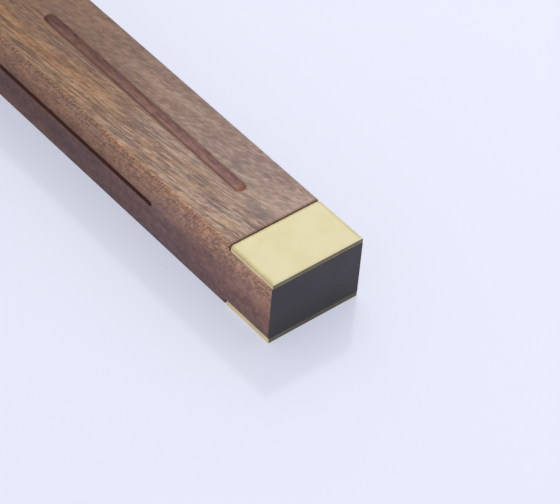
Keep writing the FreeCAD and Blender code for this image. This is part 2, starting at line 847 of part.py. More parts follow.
def make_head_block():
    body = head_body("head_block")
    top = hinge_rise + size.block_above_hinge
    outline = new_sketch(body, "XZ_Plane")
    draw(outline, [(-half_width, 0, 0, 0, 1), (half_width, 0), (half_width, top), (-half_width, top)])
    pad(outline, size.block_thickness, middle=True)
    hole = new_sketch(body, "XZ_Plane")
    circle(hole, 0, 0, size.tilt_bolt_diameter + size.tilt_bolt_clearance)
    pocket(hole)
    pilot = new_sketch(body, "XZ_Plane", out=-fixed_inner)
    for height in block_screw_heights():
        circle(pilot, 0, height, size.screw_shank + size.screw_clearance)
    pocket(pilot, size.block_screw_length - size.arm_thickness + size.screw_clearance)
    side_pilots(body, cheek_screw_spots()[2:])


def arm_outline(inner, outer, face, foot_corners):
    """Corners of an arm from its foot up the inner side, over the jaw and down the outer side. The inner
    side steps out to the jaw face by a slope, and the outer side is rebated for the brass plate."""
    rebate = outer - size.plate_thickness if outer.value > 0 else outer + size.plate_thickness
    jaw_foot = tip_height - size.jaw_face_height
    return foot_corners + [
        (inner, jaw_foot - size.jaw_slope), (face, jaw_foot), (face, wood_tip),
        (rebate, wood_tip), (rebate, plate_foot), (outer, plate_foot)]


def shape_jaw(blank, inner, face):
    """Blends the slope under the jaw into the arm and the jaw face."""
    jaw_foot = tip_height - size.jaw_face_height
    hollow = edges(blank, along="X", y=inner, z=jaw_foot - size.jaw_slope)
    swept = soften("Fillet", blank, hollow, size.jaw_lower_round)
    crest = edges(swept, along="X", y=face, z=jaw_foot)
    return soften("Fillet", swept, crest, size.jaw_upper_round)


def make_fixed_arm():
    body = head_body("fixed_arm")
    toe = size.arm_foot_chamfer
    outline = new_sketch(body, "YZ_Plane")
    draw(outline, arm_outline(fixed_inner, fixed_outer, -jaw_face, [
        (fixed_outer, arm_foot + toe), (fixed_outer + toe, arm_foot), (fixed_inner, arm_foot)]))
    blank = pad(outline, size.bar_width, middle=True)
    jaw = shape_jaw(blank, fixed_inner, -jaw_face)
    soften("Fillet", jaw, edges(jaw, along="Z", y=fixed_outer), size.arris_round)
    hole = new_sketch(body, "XZ_Plane")
    circle(hole, 0, stud_height, size.stud_diameter + size.stud_hole_clearance)
    pocket(hole)
    heads = new_sketch(body, "XZ_Plane", out=-fixed_outer)
    for height in block_screw_heights():
        circle(heads, 0, height, size.screw_shank)
    screw_holes(heads, size.screw_shank, size.screw_head, size.arm_thickness)
    side_pilots(body, cheek_screw_spots()[:2])


def make_block_screws():
    group("block_screws", [
        screw(f"block_screw_{number}", size.screw_shank, size.screw_head, size.block_screw_length,
              (head_x, fixed_outer, pivot_z + height), TO_MINUS_Y)
        for number, height in enumerate(block_screw_heights(), start=1)])


# ---------------------------------------------------------------------------------------------------------
# Hinge
# ---------------------------------------------------------------------------------------------------------


def make_cheek(name, side):
    """A brass cheek screwed to one side of the arm and block, with a boss round the hinge pin. It is drawn
    from the side, and padded outwards from the wood."""
    body = head_body(name, x=side * half_width)
    boss = size.cheek_boss
    back = fixed_outer + size.cheek_inset
    shoulder = back + size.cheek_top
    low = hinge_rise - boss
    high = low + size.cheek_height
    outline = new_sketch(body, "YZ_Plane")
    draw(outline, [(back, low), (hinge_y, low, hinge_y, hinge_rise, 1), (hinge_y, hinge_rise + boss),
                   (shoulder, high), (back, high)])
    plate = pad(outline, size.cheek_thickness, reverse=side < 0)
    neck = soften("Fillet", plate, edges(plate, along="X", y=hinge_y, z=hinge_rise + boss), size.cheek_sweep)
    corners = edges(neck, along="X", y=back) + edges(neck, along="X", y=shoulder)
    rounded = soften("Fillet", neck, corners, size.cheek_round)
    soften("Chamfer", rounded, edges(rounded, x=side * size.cheek_thickness), size.cheek_chamfer)
    hole = new_sketch(body, "YZ_Plane")
    circle(hole, hinge_y, hinge_rise, size.hinge_pin_diameter + size.hinge_pin_clearance)
    pocket(hole)
    heads = new_sketch(body, "YZ_Plane", out=side * size.cheek_thickness)
    for y, z in cheek_screw_spots():
        circle(heads, y, z, size.screw_shank)
    screw_holes(heads, size.screw_shank, size.screw_head, size.cheek_thickness, reverse=side < 0)


def make_hinge():
    make_cheek("hinge_cheek_front", 1)
    make_cheek("hinge_cheek_rear", -1)
    screws = []
    for side in (1, -1):
        outwards = facing((0, 0, 1), (side, 0, 0))
        for y, z in cheek_screw_spots():
            spot = (head_x + side * (half_width + size.cheek_thickness), y, pivot_z + z)
            screws.append(screw(f"cheek_screw_{len(screws) + 1}", size.screw_shank, size.screw_head,
                                size.cheek_screw_length, spot, outwards))
    group("cheek_screws", screws)
    pin = head_body("hinge_pin", y=hinge_y, z=hinge_rise)
    outline = new_sketch(pin, "YZ_Plane")
    circle(outline, 0, 0, size.hinge_pin_diameter)
    length = size.bar_width + 2 * (size.cheek_thickness + size.hinge_pin_proud)
    bar = pad(outline, length, middle=True)
    soften("Chamfer", bar, edges(bar, x=length / 2) + edges(bar, x=-length / 2), size.stud_chamfer)


# ---------------------------------------------------------------------------------------------------------
# Moving arm
# ---------------------------------------------------------------------------------------------------------


def make_moving_arm():
    body = head_body("moving_arm")
    outline = new_sketch(body, "YZ_Plane")
    # listed up the inner side, so the outline runs clockwise and its foot turns round the hinge at the end
    corners = arm_outline(moving_inner, moving_outer, jaw_face, [(moving_inner, hinge_rise)])
    corners += [(moving_outer, hinge_rise, hinge_y, hinge_rise, -1)]
    draw(outline, corners)
    blank = pad(outline, moving_width, middle=True)
    jaw = shape_jaw(blank, moving_inner, jaw_face)
    soften("Fillet", jaw, edges(jaw, along="Z", y=moving_outer), size.arris_round)
    hinge = new_sketch(body, "YZ_Plane")
    circle(hinge, hinge_y, hinge_rise, size.hinge_pin_diameter + size.hinge_pin_clearance)
    pocket(hinge)
    opening = new_sketch(body, "XZ_Plane")
    slot(opening, as_size(0), stud_height, size.slot_height, size.slot_width, upright=True)
    pocket(opening)
    recess = new_sketch(body, "XZ_Plane", out=-moving_outer)
    reach = (size.escutcheon_height + 2 * size.plate_seam) / 2
    half = (size.escutcheon_width + 2 * size.plate_seam) / 2
    rectangle(recess, -half, stud_height - reach, half, stud_height + reach)
    pocket(recess, size.escutcheon_thickness, reverse=True)
    pilot = new_sketch(body, "XZ_Plane", out=-moving_outer)
    for height in escutcheon_screw_heights():
        circle(pilot, 0, height, size.small_screw_shank + size.screw_clearance)
    pocket(pilot, size.escutcheon_screw_length + size.screw_clearance, reverse=True)


def escutcheon_screw_heights():
    reach = size.escutcheon_screw_spacing / 2
    return [stud_height - reach, stud_height + reach]


def make_escutcheon():
    """The brass wear plate round the slot, let in flush with the arm's outer face."""
    body = head_body("slot_escutcheon", y=moving_outer, z=stud_height)
    half = size.escutcheon_width / 2
    reach = size.escutcheon_height / 2
    outline = new_sketch(body, "XZ_Plane")
    rectangle(outline, -half, -reach, half, reach)
    plate = pad(outline, size.escutcheon_thickness)
    soften("Fillet", plate, edges(plate, along="Y"), size.plate_corner)
    opening = new_sketch(body, "XZ_Plane")
    slot(opening, as_size(0), as_size(0), size.slot_height, size.slot_width, upright=True)
    pocket(opening)
    heads = new_sketch(body, "XZ_Plane")
    for height in escutcheon_screw_heights():
        circle(heads, 0, height - stud_height, size.small_screw_shank)
    screw_holes(heads, size.small_screw_shank, size.small_screw_head, size.escutcheon_thickness, reverse=True)
    group("escutcheon_screws", [
        screw(f"escutcheon_screw_{number}", size.small_screw_shank, size.small_screw_head,
              size.escutcheon_screw_length, (head_x, moving_outer, pivot_z + height), TO_PLUS_Y)
        for number, height in enumerate(escutcheon_screw_heights(), start=1)])


def make_jaw_fittings():
    """Each jaw's brass plate and black tip outside, and its leather pad inside."""
    for name, side, outer, width in (
            ("fixed_jaw", -1, fixed_outer, size.bar_width), ("moving_jaw", 1, moving_outer, moving_width)):
        upwards = facing((0, 0, 1), (0, side, 0))
        end_plate(f"{name}_plate", width, head_x, outer, pivot_z + tip_height, upwards)
        tip = head_body(f"{name}_tip_face", z=tip_height)
        rebate = outer - side * size.plate_thickness
        outline = new_sketch(tip, "XY_Plane")
        rectangle(outline, -width / 2, min(rebate, side * jaw_face, key=lambda s: s.value),
                  width / 2, max(rebate, side * jaw_face, key=lambda s: s.value))
        pad(outline, size.end_facing, reverse=True)
        liner = head_body(f"{name}_pad", y=side * jaw_face, z=tip_height)
        outline = new_sketch(liner, "XZ_Plane")
        rectangle(outline, -width / 2, size.pad_margin - size.jaw_face_height, width / 2, 0)
        leather = pad(outline, size.pad_thickness, reverse=side < 0)
        soften("Fillet", leather, edges(leather, along="Y"), size.pad_corner)


# ---------------------------------------------------------------------------------------------------------
# Clamp
# ---------------------------------------------------------------------------------------------------------


def make_clamp():
    bore = size.stud_diameter + size.stud_hole_clearance
    washer_y = fixed_outer - size.stud_washer_thickness
    nut_depth = size.cap_nut_hex_height + size.cap_nut_dome - size.cap_nut_wall
    # stud, from inside the cap nut to past the knob
    stud_start = washer_y - nut_depth + size.stud_chamfer
    stud = head_body("clamp_stud", y=stud_start, z=stud_height, rotation=TO_PLUS_Y)
    outline = new_sketch(stud, "XY_Plane")
    circle(outline, 0, 0, size.stud_diameter)
    length = size.stud_end - stud_start
    bar = pad(outline, length)
    soften("Chamfer", bar, edges(bar, z=0) + edges(bar, z=length), size.stud_chamfer)
    disc("stud_washer", size.stud_washer_diameter, bore, size.stud_washer_thickness,
         head_x, fixed_outer, pivot_z + stud_height, TO_MINUS_Y)
    # cap nut: hexagon, then a domed cap over a blind bore
    nut = hex_nut("stud_cap_nut", size.cap_nut_across, None, size.cap_nut_hex_height,
                  head_x, washer_y, pivot_z + stud_height, TO_MINUS_Y)
    cap = new_sketch(nut, "XZ_Plane", up=size.cap_nut_hex_height)
    draw(cap, [(0, 0), (size.cap_nut_dome, 0, 0, 0, 1), (0, size.cap_nut_dome)])
    turned(cap)
    thread = new_sketch(nut, "XY_Plane")
    circle(thread, 0, 0, size.stud_diameter + size.knob_clearance)
    pocket(thread, nut_depth, reverse=True)
    # domed washer, bulging towards the moving arm so that it still seats when the arm leans
    washer_face = moving_outer + size.clamp_washer_gap
    ring = head_body("clamp_washer", y=washer_face, z=stud_height, rotation=TO_PLUS_Y)
    profile = new_sketch(ring, "XZ_Plane")
    inner = bore / 2
    outer = size.clamp_washer_diameter / 2
    dome = size.clamp_washer_dome
    inner_rise = dome.value - math.sqrt(dome.value ** 2 - inner.value ** 2)
    outer_rise = dome.value - math.sqrt(dome.value ** 2 - outer.value ** 2)
    inner_rise = Size(inner_rise, f"({dome.text} - sqrt({dome.text}^2 - {inner.text}^2))")
    outer_rise = Size(outer_rise, f"({dome.text} - sqrt({dome.text}^2 - {outer.text}^2))")
    back = size.clamp_washer_thickness
    draw(profile, [(inner, inner_rise, 0, dome, 1), (outer, outer_rise), (outer, back), (inner, back)])
    turned(profile)
    knob_y = washer_face + back + size.swivel_play
    fluted_knob("clamp_knob", size.clamp_knob_diameter, size.clamp_knob_height, size.clamp_knob_hub,
                size.clamp_knob_hub_height, size.stud_diameter + size.knob_clearance,
                size.clamp_knob_flute, head_x, knob_y, pivot_z + stud_height, TO_PLUS_Y)


SPRING_STEPS = 10
WIRE_SIDES = 8


def make_spring():
    """Compression spring between the arms: wire of eight flats carried along a helix about the stud."""
    wire = size.spring_wire.value
    radius = size.spring_radius.value
    start = fixed_inner + size.spring_end_gap + size.spring_wire / 2
    length = moving_inner.value - size.spring_end_gap.value - wire / 2 - start.value
    steps = round(size.spring_turns.value * SPRING_STEPS)
    points = []
    for step in range(steps + 1):
        angle = 2 * math.pi * step / SPRING_STEPS
        points.append(Vector(radius * math.cos(angle), length * step / steps, radius * math.sin(angle)))
    path = Part.makePolygon(points)
    # the section stands across the first run, whose own directions are forward, outward and sideways
    forward = (points[1] - points[0]).normalize()
    sideways = forward.cross(Vector(1, 0, 0)).normalize()
    outward = sideways.cross(forward)
    ring = []
    for side in range(WIRE_SIDES + 1):
        angle = 2 * math.pi * side / WIRE_SIDES
        ring.append(points[0] + (outward * math.cos(angle) + sideways * math.sin(angle)) * (wire / 2))
    section = Part.makePolygon(ring)
    pipe = Part.BRepOffsetAPI.MakePipeShell(path)
    pipe.setTransitionMode(1)
    pipe.setFrenetMode(True)
    pipe.add(section)
    pipe.build()
    pipe.makeSolid()
    spring = doc.addObject("Part::Feature", "clamp_spring")
    spring.Label = "clamp_spring"
    spring.Shape = pipe.shape()
    place(spring, head_x, start, pivot_z + stud_height, UPRIGHT)
    nodes.append(spring)


# ---------------------------------------------------------------------------------------------------------
# Assembly
# ---------------------------------------------------------------------------------------------------------

make_beam()
make_cross_foot()
stock_ends("beam_tail", beam_end, 0, UPRIGHT)
stock_ends("beam_front", -beam_end, 0, facing((-1, 0, 0), (0, 0, 1)))
stock_ends("foot_left", head_x, foot_end, facing((0, 1, 0), (0, 0, 1)))
stock_ends("foot_right", head_x, -foot_end, facing((0, -1, 0), (0, 0, 1)))
make_lap_screws()
make_swivel()
make_yoke()
make_tilt()
make_head_block()
make_fixed_arm()
make_block_screws()
make_hinge()
make_moving_arm()
make_escutcheon()
make_jaw_fittings()
make_clamp()
make_spring()
doc.recompute()

for thing in doc.Objects:
    if "Invalid" in thing.State or "Error" in thing.State:
        raise ValueError(f"{thing.Name} failed: {thing.State}")
for node in nodes:
    if node.Shape.isNull() or not node.Shape.isValid():
        raise ValueError(f"{node.Label} has no valid shape")

os.makedirs("parts", exist_ok=True)
for node in nodes:
    node.Shape.exportStep(f"parts/{node.Label}.step")
    solids = len(node.Shape.Solids)
    print(f"{node.Label}: {solids} solid(s), {node.Shape.Volume:.1f} mm3")
print(f"{len(nodes)} nodes")
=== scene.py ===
import json
import math
import bmesh
import bpy
from mathutils import Matrix, Vector


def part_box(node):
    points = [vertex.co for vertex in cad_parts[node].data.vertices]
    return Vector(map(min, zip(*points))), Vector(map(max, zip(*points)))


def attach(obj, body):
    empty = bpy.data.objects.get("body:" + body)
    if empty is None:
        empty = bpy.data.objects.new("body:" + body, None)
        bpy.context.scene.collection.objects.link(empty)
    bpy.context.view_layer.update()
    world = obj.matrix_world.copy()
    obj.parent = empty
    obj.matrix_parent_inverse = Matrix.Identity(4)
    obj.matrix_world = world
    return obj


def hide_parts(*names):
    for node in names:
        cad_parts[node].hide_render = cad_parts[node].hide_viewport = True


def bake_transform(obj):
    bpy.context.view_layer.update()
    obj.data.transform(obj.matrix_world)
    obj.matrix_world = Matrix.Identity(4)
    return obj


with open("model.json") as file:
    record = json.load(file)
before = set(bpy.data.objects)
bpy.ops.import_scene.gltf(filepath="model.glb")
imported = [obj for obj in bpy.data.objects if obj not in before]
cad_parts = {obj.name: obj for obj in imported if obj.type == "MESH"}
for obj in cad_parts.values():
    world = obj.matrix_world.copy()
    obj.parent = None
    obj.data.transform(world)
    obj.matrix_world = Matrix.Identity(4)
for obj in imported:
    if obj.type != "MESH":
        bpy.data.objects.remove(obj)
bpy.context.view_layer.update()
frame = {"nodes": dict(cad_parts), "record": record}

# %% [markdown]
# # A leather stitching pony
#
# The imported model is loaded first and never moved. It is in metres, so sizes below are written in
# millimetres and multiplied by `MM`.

MM = 0.001
AXES = "XYZ"
node = frame["nodes"]

# %% [markdown]
# ## Shader maths as ordinary Python
#
# A wood or brass finish is a small calculation: stretch the coordinates, make some noise, keep only
# its peaks, mix two colours. In the node editor that is a tangle of Math nodes. A class that wraps
# a socket and overloads `+ - * / **` lets the same calculation be written as a formula, and the
# nodes are added behind it.

# %% A socket that can be calculated with
class Signal:
    """A value that varies over the surface. Arithmetic on it adds Math nodes."""

    def __init__(self, nodes, socket):
        self.nodes = nodes
        self.socket = socket

    def maths(self, operation, *values):
        return self.nodes.node("Math", {"operation": operation}, dict(enumerate(values)))

    def __add__(self, other):
        return self.maths("ADD", self, other)

    def __radd__(self, other):
        return self.maths("ADD", other, self)

    def __sub__(self, other):
        return self.maths("SUBTRACT", self, other)

    def __rsub__(self, other):
        return self.maths("SUBTRACT", other, self)

    def __mul__(self, other):
        return self.maths("MULTIPLY", self, other)

    def __rmul__(self, other):
        return self.maths("MULTIPLY", other, self)

    def __truediv__(self, other):
        return self.maths("DIVIDE", self, other)

    def __pow__(self, other):
        return self.maths("POWER", self, other)

    def size(self):
        return self.maths("ABSOLUTE", self)

    def at_least(self, low):
        return self.maths("MAXIMUM", self, low)

    def between(self, low, high):
        """0 below low, 1 above high, and a smooth step from one to the other."""
        return self.nodes.node("MapRange", {"interpolation_type": "SMOOTHSTEP"},
                               {"Value": self, "From Min": low, "From Max": high})


# %% [markdown]
# ## One method for every node
#
# `Nodes` is a node tree in the making. Its `node` method takes the node's type, its settings, and
# what goes into each socket, and returns one output ready to calculate with.

# %% A node tree in the making
class Nodes:
    def __init__(self, tree):
        self.tree = tree

    def node(self, kind, settings=None, sockets=None, output=0):
        """Adds a node, with its settings first, and returns one of its outputs."""
        step = self.tree.nodes.new("ShaderNode" + kind)
        for name, value in (settings or {}).items():
            setattr(step, name, value)
        for name, value in (sockets or {}).items():
            self.feed(step.inputs[name], value)
        return Signal(self, step.outputs[output])

    def feed(self, socket, value):
        """Links a signal to a socket, or sets the socket itself to a plain value."""
        if isinstance(value, Signal):
            self.tree.links.new(value.socket, socket)
        else:
            socket.default_value = value

    def seen(self):
        """1 for what the camera sees, straight or by way of metal or glass, and 0 for light."""
        straight, glossy, through = (self.node("LightPath", output=f"Is {kind} Ray")
                                     for kind in ("Camera", "Glossy", "Transmission"))
        return straight + glossy + through


# %% [markdown]
# ## A material in the making
#
# `Finish` adds what a surface needs. Everything reads Object coordinates, because every piece sits
# at the origin with its place in its mesh: a pattern then has its real size and stays put when the
# piece moves. What is the same all over a surface is set on the shader itself.

# %% Colours and finishes
SHARE, FIRST, SECOND, RESULT = 0, 6, 7, 2       # a Mix node's sockets when it mixes two colours


def linear(red, green, blue):
    """A colour as it looks on a screen, 0 to 255, in the linear values that a shader needs."""
    parts = [c / 255 for c in (red, green, blue)]
    return [c / 12.92 if c < 0.04045 else ((c + 0.055) / 1.055) ** 2.4 for c in parts] + [1.0]


class Finish(Nodes):
    def __init__(self, name):
        self.material = bpy.data.materials.new(name)
        self.material.use_nodes = True
        super().__init__(self.material.node_tree)
        self.shader = self.tree.nodes["Principled BSDF"]

    def set(self, **sockets):
        """Feeds the shader's sockets. Their names have _ for a space."""
        for name, value in sockets.items():
            self.feed(self.shader.inputs[name.replace("_", " ")], value)

    def place(self, order=AXES):
        """The surface's place in millimetres, with its axes in this order."""
        spot = self.node("TexCoord", output="Object")
        return [self.node("SeparateXYZ", sockets={"Vector": spot}, output=axis) * (1 / MM)
                for axis in order]

    def vector(self, x, y, z):
        return self.node("CombineXYZ", sockets={"X": x, "Y": y, "Z": z})

    def scaled(self, *scales):
        """The surface's place as a vector, with one scale for all three axes or one for each."""
        scales = scales * (len(AXES) // len(scales))
        return self.vector(*(part * scale for part, scale in zip(self.place(), scales)))

    def noise(self, vector, detail=2.0, roughness=0.5):
        return self.node("TexNoise", sockets={
            "Vector": vector, "Scale": 1.0, "Detail": detail, "Roughness": roughness})

    def mix(self, share, first, second, blend="MIX"):
        return self.node("Mix", {"data_type": "RGBA", "blend_type": blend},
                         {SHARE: share, FIRST: first, SECOND: second}, RESULT)

    def times(self, colour, tone):
        """A colour deepened or lifted by a tone, in which 1 leaves it as it is."""
        return self.mix(1.0, colour, tone, "MULTIPLY")

    def coats(self, colour, *coats):
        """Lays coats over a colour, each given as its share and its own colour."""
        for share, coat in coats:
            colour = self.mix(share, colour, coat)
        return colour

    def bump(self, height, distance, strength):
        return self.node("Bump", sockets={
            "Height": height, "Distance": distance, "Strength": strength})


# %% [markdown]
# ## Oiled hardwood
#
# The bars are a brown, open-pored timber. What the eye reads as wood is several things at several
# sizes: bands and clouds of colour, dark lines half a millimetre wide that lean and bow with the
# tree, pores cut open as short dashes, and flecks where the rays come to the surface.
#
# Where a thing lies on the board matters as much. Painted light and shade are laid across every
# board: the painted shade towards one side is darker, purple and quiet, and on the beam it lies low
# on its sides, while the painted light towards the other is lively. The ends are paler than the
# middle, partly the wood's own tone and partly painted sheen and light that falls off along the
# bar. All of this is worked out from the piece's own box, so one formula serves five boards.

# %% Where things lie on a board
GRAIN = {"beam": "X", "cross_foot": "Y", "head_block": "Z", "fixed_arm": "Z", "moving_arm": "Z"}
SHADE_REVERSED = ("moving_arm",)        # boards whose painted shade and light run the other way


class Board:
    """Places on one board, in millimetres from its middle and as shares from 0 to 1."""

    def __init__(self, finish, name):
        low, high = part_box(name)
        order = GRAIN[name] + AXES.replace(GRAIN[name], "")
        ends = [(low[AXES.index(axis)] / MM, high[AXES.index(axis)] / MM) for axis in order]
        halves = [(b - a) / 2 for a, b in ends]
        self.along, self.across, self.deep = (
            part - (a + b) / 2 for part, (a, b) in zip(finish.place(order), ends))
        to_side = halves[1] - self.across.size()
        to_face = halves[2] - self.deep.size()
        from_middle = self.along.size() / halves[0]
        # one of the two is nothing on any face, so this is how far the nearest long edge is
        self.edge = to_side + to_face
        # 1 on the two sides and 0 on the two faces
        self.flank = 1 - to_side.between(0.15, 0.8)
        # 0 mid-board and 1 at the ends, early and late
        self.ends = from_middle.between(0.2, 0.85)
        self.late = from_middle.between(0.35, 0.95)
        # 1 towards one side of each face
        self.left = 1 - (self.across / halves[1]).between(-0.7, 0.5)
        # from painted shade to painted light across the board, up its sides on the beam, and where
        # the painted shade is deepest
        height = self.deep * ((-1 if name in SHADE_REVERSED else 1) / halves[2])
        self.light = height.between(-0.29, 0.81)
        self.heart = 1 - height.between(-1.0, -0.5)


# %% [markdown]
# Each thing that shows in the wood is a noise texture stretched along the grain, or across it for
# the flecks. The five boards are cut from one tree, so each starts further along it.

# %% Timber
NEXT_BOARD = 310.0      # millimetres along the tree from one board to the next
BOW = 0.0006            # how fast the grain bends away to one side
RISE = 0.05             # how fast it climbs through the board
LEAN = (0.77, 0.64)     # across and up for what leans some 40 degrees to the grain


class Timber(Finish):
    def __init__(self, name, number):
        super().__init__(f"{name}_oiled_wood")
        self.board = board = Board(self, name)
        self.run = board.along + number * NEXT_BOARD
        self.bowed = board.across - board.along * board.along * BOW
        self.rise = board.deep - board.along * RISE
        self.clouds = self.grain(6.0, 2.4, 3.0, 0.6)
        self.lines = self.grain(15.0, 0.55, 3.0, 0.6)
        self.pores = self.grain(1.8, 0.2).between(0.60, 0.70)

    def grain(self, length, width, detail=2.0, roughness=0.5):
        """Noise drawn out along the grain, this long and this wide in millimetres."""
        place = self.vector(self.run / length, self.bowed / width, self.rise / width)
        return self.noise(place, detail, roughness)

    def leaning(self, up, length, width, third):
        """Noise that leans across the grain, as the rays and torn fibres do."""
        along = self.board.along
        return self.noise(self.vector((along * LEAN[0] - up * LEAN[1]) / length,
                                      (along * LEAN[1] + up * LEAN[0]) / width, third))


# %% [markdown]
# The colour is laid on from the widest to the finest: two browns in bands, warm places, clouds, a
# mottle, streaks, lines and pores. It is liveliest where the sides carry painted light, and on the
# faces towards one side. The warm places are warmest mid-board, partly the wood's own tone and
# partly painted light that falls off along the bar.

# %% The ground colour
TIMBER = {"band_dark": linear(150, 121, 106), "band_pale": linear(176, 146, 127),
          "warm": linear(196, 146, 98), "cloud": linear(118, 95, 88),
          "mottle_dark": linear(112, 88, 80), "mottle_pale": linear(206, 176, 152),
          "streak": linear(108, 82, 72), "pore": linear(74, 52, 46),
          "line_dark": linear(92, 68, 60), "line_pale": linear(222, 188, 156),
          "fleck_dark": linear(88, 64, 60), "fleck_pale": linear(200, 164, 142),
          "worn": linear(146, 105, 78), "torn_dark": linear(98, 68, 54),
          "torn_highlight": linear(214, 167, 120), "groove_rim": linear(104, 68, 50)}


def ground(wood):
    board, run = wood.board, wood.run
    lively = board.flank * board.light * 0.75 + (1 - board.flank) * (0.30 + board.left * 0.70)
    # warmer mid-board: partly the wood's own tone, partly painted light that falls off along the
    # bar
    warm = (0.10 + board.left * 0.50) * (1.35 - board.ends * 0.6)
    bands = wood.grain(80.0, 5.0, 3.0)
    warmth = wood.grain(40.0, 7.0)
    streaks = wood.grain(16.0, 1.5, 3.0, 0.6)
    mottle = wood.noise(wood.vector((run * 0.9 + board.across * 0.4) / 2.4,
                                    (board.across * 0.9 - run * 0.4) / 1.05, wood.rise / 1.5))
    return wood.coats(
        wood.mix(bands.between(0.36, 0.64), TIMBER["band_dark"], TIMBER["band_pale"]),
        (warmth.between(0.36, 0.60) * warm, TIMBER["warm"]),
        (wood.clouds.between(0.46, 0.66) * 0.30, TIMBER["cloud"]),
        (mottle.between(0.50, 0.63) * 0.30, TIMBER["mottle_dark"]),
        ((1 - mottle.between(0.36, 0.48)) * 0.27, TIMBER["mottle_pale"]),
        (streaks.between(0.50, 0.64) * lively * 0.55, TIMBER["streak"]),
        (wood.lines.between(0.50, 0.60) * lively * 0.62, TIMBER["line_dark"]),
        ((1 - wood.lines.between(0.36, 0.45)) * lively * 0.45, TIMBER["line_pale"]),
        (wood.pores * lively * 0.5, TIMBER["pore"]))


# %% [markdown]
# Ray flecks are plain where the sides carry painted light and faint in their painted shade. Hands
# and sandpaper wear the long edges, so the oil there is orange, and the fibres are torn into chips,
# whose pale tips are a painted highlight, mostly along one arris.

# %% Flecks, worn edges and their painted highlights
def ray_flecks(wood, body):
    board = wood.board
    flecks = wood.leaning(board.deep, 0.5, 3.0, wood.rise / 3.0)
    shown = board.flank * (0.25 + board.light * 0.75)
    return wood.coats(
        body,
        (flecks.between(0.52, 0.66) * shown * 0.40, TIMBER["fleck_pale"]),
        ((1 - flecks.between(0.36, 0.48)) * shown * 0.44, TIMBER["fleck_dark"]))


def worn_edges_and_highlights(wood, body):
    """Wears the long edges of a colour, paints a highlight on the chips, and returns it with the
    height of the chips.
    """
    board = wood.board
    torn = wood.leaning(board.deep + board.across, 0.55, 1.3, 0.0)
    worn = 1 - (board.edge + torn * 1.6).between(1.0, 2.1)
    worn = worn * (0.12 + board.left * 0.88) * board.light
    body = wood.coats(
        body,
        (worn * 0.45, TIMBER["worn"]),
        # pale chips: a painted highlight along the arris
        (worn * torn.between(0.50, 0.60) * (0.8 - board.ends * 0.25), TIMBER["torn_highlight"]),
        (worn * (1 - torn.between(0.36, 0.46)) * 0.60, TIMBER["torn_dark"]))
    return body, worn * torn


# %% [markdown]
# The whole is then toned with painted light and shade. The sides get painted light, bright and
# warm, towards one edge and painted shade, dark purple, towards the other, which on the beam is low
# down;
# they are deeper mid-board, partly painted light that falls off along the bar. The faces are warm
# mid-board and pale at the ends, partly the wood's own tone and partly painted sheen and light that
# falls off along the bar, and the face on the shaded side gets painted shade.

# %% Tone
TONE = {"heart_side": (0.30, 0.23, 0.31, 1), "side_shade_ends": (0.72, 0.57, 0.68, 1),
        "heart_side_foot": (0.40, 0.36, 0.49, 1),
        "side_lit": (0.96, 0.83, 0.78, 1), "side_lit_ends": (1.40, 1.25, 1.20, 1),
        "face": (0.65, 0.53, 0.42, 1), "face_left": (0.79, 0.66, 0.47, 1),
        "face_ends_sheen": (1.12, 1.20, 1.28, 1),
        "face_shade": (0.70, 0.60, 0.68, 1), "plain": (1.0, 1.0, 1.0, 1)}


def tone(wood):
    board = wood.board
    # painted shade on the sides, lifted towards the ends and deepest at the shaded edge, low down
    # on the beam
    dark = wood.mix(board.late, TONE["heart_side"], TONE["side_shade_ends"])
    dark = wood.mix(board.heart, dark, TONE["heart_side_foot"])
    # painted light on the sides, brighter towards the ends
    bright = wood.mix(board.late, TONE["side_lit"], TONE["side_lit_ends"])
    face = wood.mix(board.left, TONE["face"], TONE["face_left"])
    # faces paler at the ends: partly the wood's own tone, partly painted sheen and light falloff
    face = wood.mix(board.ends, face, TONE["face_ends_sheen"])
    # painted shade on the face towards the shaded side, the underside on the beam
    face = wood.times(wood.mix(board.light, TONE["face_shade"], TONE["plain"]), face)
    return wood.mix(board.flank, face, wood.mix(board.light, dark, bright))


# %% [markdown]
# The beam alone has marks: two grey mineral stains, a line of oil beside each black end, and a dark
# rim round the needle groove, at one distance from the middle line of its straight run.

# %% Marks on the beam
GROOVE_PLACE, GROOVE_REACH = 74.5, 41.7     # along the beam: its middle, and half its straight run
GROOVE_ASIDE, GROOVE_RADIUS = 1.0, 1.8      # across the beam: its middle, and half its width
MINERAL = linear(104, 86, 86)
OIL = linear(116, 78, 62)
# along and across the board, half length and half width in millimetres, colour, and strength
STAINS = [(126.5, -0.8, 6.5, 1.7, MINERAL, 0.50), (110.5, 5.3, 2.6, 1.4, MINERAL, 0.35),
          (131.7, 0.0, 0.35, 40.0, OIL, 0.60), (-131.7, 0.0, 0.35, 40.0, OIL, 0.60)]


def stained(wood, body):
    board = wood.board
    for x, y, length, width, colour, strength in STAINS:
        u = (board.along - x) / length
        v = (board.across - y) / width
        spread = 1 - (u * u + v * v + wood.clouds * 0.6).between(0.5, 1.6)
        body = wood.mix(spread * (1 - board.flank) * strength, body, colour)
    return body


def groove_rimmed(wood, body):
    board = wood.board
    reach = ((board.along - GROOVE_PLACE).size() - GROOVE_REACH).at_least(0.0)
    aside = board.across - GROOVE_ASIDE
    rim = 1 - ((reach * reach + aside * aside) ** 0.5 - GROOVE_RADIUS).between(0.1, 0.7)
    return wood.mix(rim * (1 - board.flank) * 0.45, body, TIMBER["groove_rim"])


# %% [markdown]
# Now each board gets its own finish. Pores are sunk and chips stand up, and oil shines less than
# varnish, so the shader's specular level is lowered.

# %% Wood
WOOD_RELIEF = 0.12 * MM


